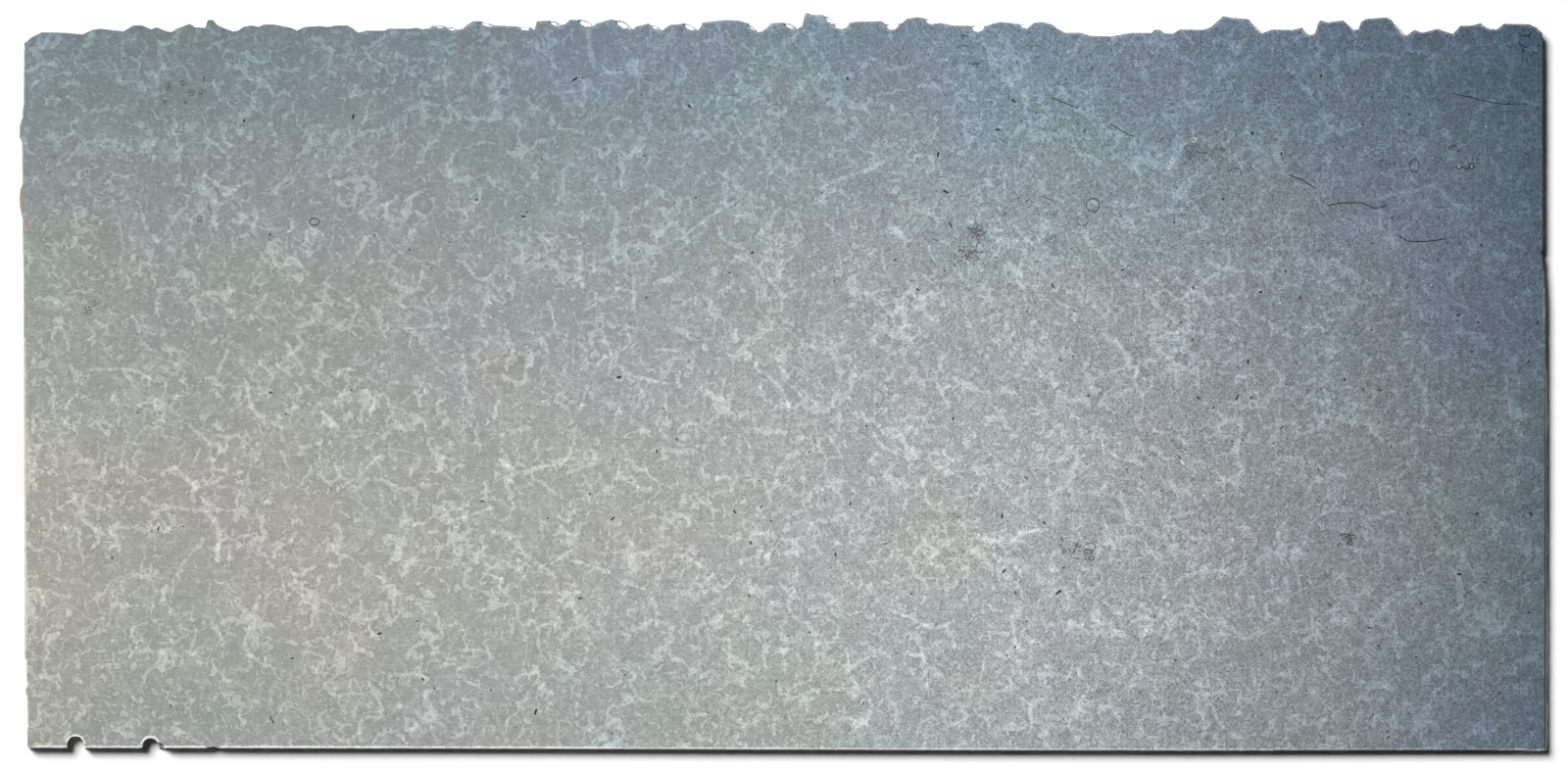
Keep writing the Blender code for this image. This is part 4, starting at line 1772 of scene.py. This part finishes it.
    def scattered(
        self, rim: Sequence[Vector], grid: float, rows: Sequence[float], marked: Sequence[Vector]
    ) -> list[Vector]:
        """Points spread over a flat face, with rows of them beside its rim.

        Args:
            rim: The points of the rim, in order.
            grid: How far apart the points are.
            rows: How far inside the rim each row lies.
            marked: Points that the marks on the face need.

        Returns:
            The points.
        """
        chance = random.Random(self.seed)
        tree = finder(rim)
        low, high = CAD_BOX
        points = []
        for column in range(int((high[0] - low[0]) / grid) + 1):
            for row in range(int((high[1] - low[1]) / grid) + 1):
                across = chance.uniform(*self.cell) + column
                up = chance.uniform(*self.cell) + row
                place = Vector((low[0], low[1], rim[0].z)) + Vector((across, up, 0.0)) * grid
                if tree.find(place)[2] > self.clear_of_rim * grid:
                    points.append(place)
        area = sum(a.x * b.y - b.x * a.y for a, b in zip(rim, (*rim[1:], rim[0])))
        for row, distance in enumerate(rows):
            for index in range(0, len(rim), row + 1):
                along = (rim[(index + 1) % len(rim)] - rim[index - 1]) * math.copysign(1.0, area)
                place = rim[index] + Vector((-along.y, along.x, 0.0)).normalized() * distance
                if tree.find(place)[2] > self.clear_of_bend * distance:
                    points.append(place)
        kept = [place for place in marked if self.gap(place, rim, tree) > self.rim_gap]
        taken = set()
        thinned = []
        for place in (*kept, *points):
            cell = (round(place.x / self.point_gap), round(place.y / self.point_gap))
            if cell not in taken:
                taken.add(cell)
                thinned.append(place)
        return thinned

    @staticmethod
    def gap(place: Vector, rim: Sequence[Vector], tree: kdtree.KDTree) -> float:
        """How far a place lies from the rim.

        Args:
            place: The place.
            rim: The points of the rim, in order.
            tree: What finds the nearest of them.

        Returns:
            The distance, in metres.
        """
        nearest = tree.find(place)[1]
        around = (rim[nearest - 1], rim[nearest], rim[(nearest + 1) % len(rim)])
        gaps = []
        for start, end in zip(around, around[1:]):
            foot, share = intersect_point_line(place, start, end)
            gaps.append((place - (start if share < 0.0 else end if share > 1.0 else foot)).length)
        return min(gaps)

    def cover(self, walls: bmesh.types.BMesh, height: float, extra: Sequence[Vector]) -> None:
        """Closes the walls with a flat face of triangles.

        Args:
            walls: The walls, which the face is added to.
            height: The height of the open rim.
            extra: Points that the face has besides those of the rim.
        """
        rim = self.rim(walls, height)
        points = [vert.co.xy for vert in rim] + [point.xy for point in extra]
        edges = [(index, (index + 1) % len(rim)) for index in range(len(rim))]
        coords, _, faces, sources, _, _ = delaunay_2d_cdt(points, edges, [], 1, 1e-7)
        upward = height > 0.5 * THICKNESS
        verts = []
        strays = 0
        for coord, source in zip(coords, sources):
            on_rim = [index for index in source if index < len(rim)]
            strays += not source
            verts.append(rim[on_rim[0]] if on_rim else (coord, height))
        made = {}
        for face in faces:
            corners = []
            for index in (face if upward else reversed(face)):
                if isinstance(verts[index], tuple):
                    if index not in made:
                        made[index] = walls.verts.new((*verts[index][0], verts[index][1]))
                    corners.append(made[index])
                else:
                    corners.append(verts[index])
            if len(set(corners)) == 3 and not walls.faces.get(corners):
                walls.faces.new(corners)
        LOG.info(
            "face at %.3f m: %d rim points, %d triangles, %d strays",
            height, len(rim), len(faces), strays,
        )

    def build(self, patterns: StonePatterns, marks: FaceMarks) -> bpy.types.Object:
        """The whole slab, dressed and riding on its body.

        Args:
            patterns: What its finishes are made of.
            marks: What is marked on it.

        Returns:
            The slab.
        """
        finishes = {
            Face.HONED: HonedFinish().material(patterns),
            Face.ARRIS: WORN_ARRIS_WITH_HIGHLIGHT.material(patterns),
            Face.SAWN: SAWN_LIMESTONE.material(patterns),
            Face.FRACTURE: BROKEN_LIMESTONE.material(patterns),
        }
        walls = self.walls(finishes[Face.FRACTURE])
        for height, grid, rows, marked in (
            (THICKNESS, self.grid, self.rim_rows, marks.points()),
            (0.0, self.under_grid, self.under_rows, ()),
        ):
            rim = [vert.co.copy() for vert in self.rim(walls, height)]
            self.cover(walls, height, self.scattered(rim, grid, rows, marked))
        walls.normal_update()
        for face in walls.faces:
            face.smooth = True
            face.material_index = self.surface(face).value
        LOG.info("open edges %d", sum(not edge.is_manifold for edge in walls.edges))
        mesh = bpy.data.meshes.new("limestone_slab")
        walls.to_mesh(mesh)
        walls.free()
        for finish in finishes.values():
            mesh.materials.append(finish)
        marks.write(mesh)
        marks.sunk(mesh)
        sinking = SunkenMarks()
        mesh = modified(mesh, sinking.tree(), {
            "Depth Scale": sinking.depth_scale, "Finish": PIT.material(patterns),
        })
        for name in ("broken", "worn", "inward", "sunk", "pitted"):
            mesh.attributes.remove(mesh.attributes[name])
        mesh.set_sharp_from_angle(angle=math.radians(self.sharp_turn))
        for face in mesh.polygons:
            face.use_smooth = face.material_index != Face.HONED.value
        slab = bpy.data.objects.new("limestone_slab", mesh)
        bpy.context.scene.collection.objects.link(slab)
        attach(slab, BODY)
        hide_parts(NODE)
        LOG.info("limestone_slab: %d triangles", len(mesh.polygons))
        return slab

    def surface(self, face: bmesh.types.BMFace) -> Face:
        """Which surface of the slab a triangle of it belongs to.

        Args:
            face: The triangle.

        Returns:
            The surface.
        """
        middle = face.calc_center_median()
        if min(vert.co.z for vert in face.verts) > THICKNESS - 0.5 * HAIR:
            return Face.HONED
        if max(vert.co.z for vert in face.verts) < 0.5 * HAIR:
            return Face.SAWN
        if plan(middle)[1] > BROKEN_FROM_MM and abs(middle.x) < self.broken_end:
            return Face.FRACTURE
        if middle.z > THICKNESS - self.arris - HAIR and face.normal.z > self.arris_lean:
            return Face.ARRIS
        return Face.SAWN


# ------------------------------------------------------------------------------------------
# The studio
# ------------------------------------------------------------------------------------------


@dataclass
class Studio:
    """A plain pale floor, one broad soft light from the upper left, and the camera overhead."""

    floor_size: float = 60.0
    floor_drop: float = 0.0005
    light_from: float = 45.0
    light_height: float = 40.5
    light_spread: float = 33.0
    light_strength: float = 5.4
    fill: float = 0.015
    camera_height: float = 17.09
    camera_lens: float = 200.0
    camera_centre: Point = (-0.0002, -0.0085)
    camera_roll: float = 0.00155

    def build(self) -> None:
        """Everything round the slab."""
        scene = bpy.context.scene
        scene.view_settings.view_transform = "Standard"
        self.floor()
        self.light()
        self.world(scene)
        lens = bpy.data.cameras.new("camera")
        lens.lens = self.camera_lens
        lens.clip_end = 200.0
        camera = bpy.data.objects.new("camera", lens)
        camera.location = (*self.camera_centre, self.camera_height)
        camera.rotation_euler = (0.0, 0.0, self.camera_roll)
        scene.collection.objects.link(camera)
        scene.camera = camera

    def floor(self) -> None:
        """The floor, just clear of the slab."""
        half = self.floor_size / 2
        mesh = bpy.data.meshes.new("floor")
        turns = ((-1, -1), (1, -1), (1, 1), (-1, 1))
        corners = [(x * half, y * half, -self.floor_drop) for x, y in turns]
        mesh.from_pydata(corners, [], [(0, 1, 2, 3)])
        material = bpy.data.materials.new("pale_floor")
        material.use_nodes = True
        shader = material.node_tree.nodes["Principled BSDF"]
        shader.inputs["Base Color"].default_value = (0.95, 0.95, 0.95, 1.0)
        shader.inputs["Roughness"].default_value = 0.9
        shader.inputs["Specular IOR Level"].default_value = 0.0
        mesh.materials.append(material)
        floor = bpy.data.objects.new("floor", mesh)
        bpy.context.scene.collection.objects.link(floor)

    def light(self) -> None:
        """The broad light."""
        lamp = bpy.data.lights.new("softbox", "SUN")
        lamp.energy = self.light_strength
        lamp.angle = math.radians(self.light_spread)
        light = bpy.data.objects.new("softbox", lamp)
        light.rotation_euler = (
            math.radians(90.0 - self.light_height), 0.0, math.radians(180.0 + self.light_from)
        )
        bpy.context.scene.collection.objects.link(light)

    def world(self, scene: bpy.types.Scene) -> None:
        """A dim even fill, which the camera sees as a white backdrop."""
        world = bpy.data.worlds.new("studio")
        scene.world = world
        world.use_nodes = True
        wiring = Wiring(world.node_tree)
        background = world.node_tree.nodes["Background"]
        seen = wiring.add("ShaderNodeLightPath").outputs["Is Camera Ray"]
        strength = wiring.add(
            "ShaderNodeMapRange", {"Value": seen, "To Min": self.fill, "To Max": 1.0}
        ).outputs[0]
        wiring.feed(background.inputs["Strength"], strength)
        background.inputs["Color"].default_value = (1.0, 1.0, 1.0, 1.0)


def main() -> None:
    """Builds the slab and the studio round it."""
    logging.basicConfig(level=logging.INFO, format="%(name)s: %(message)s")
    patterns = StonePatterns(StoneTonesAndShade())
    LimestoneSlab().build(patterns, FaceMarks())
    Studio().build()


if __name__ == "__main__":
    main()
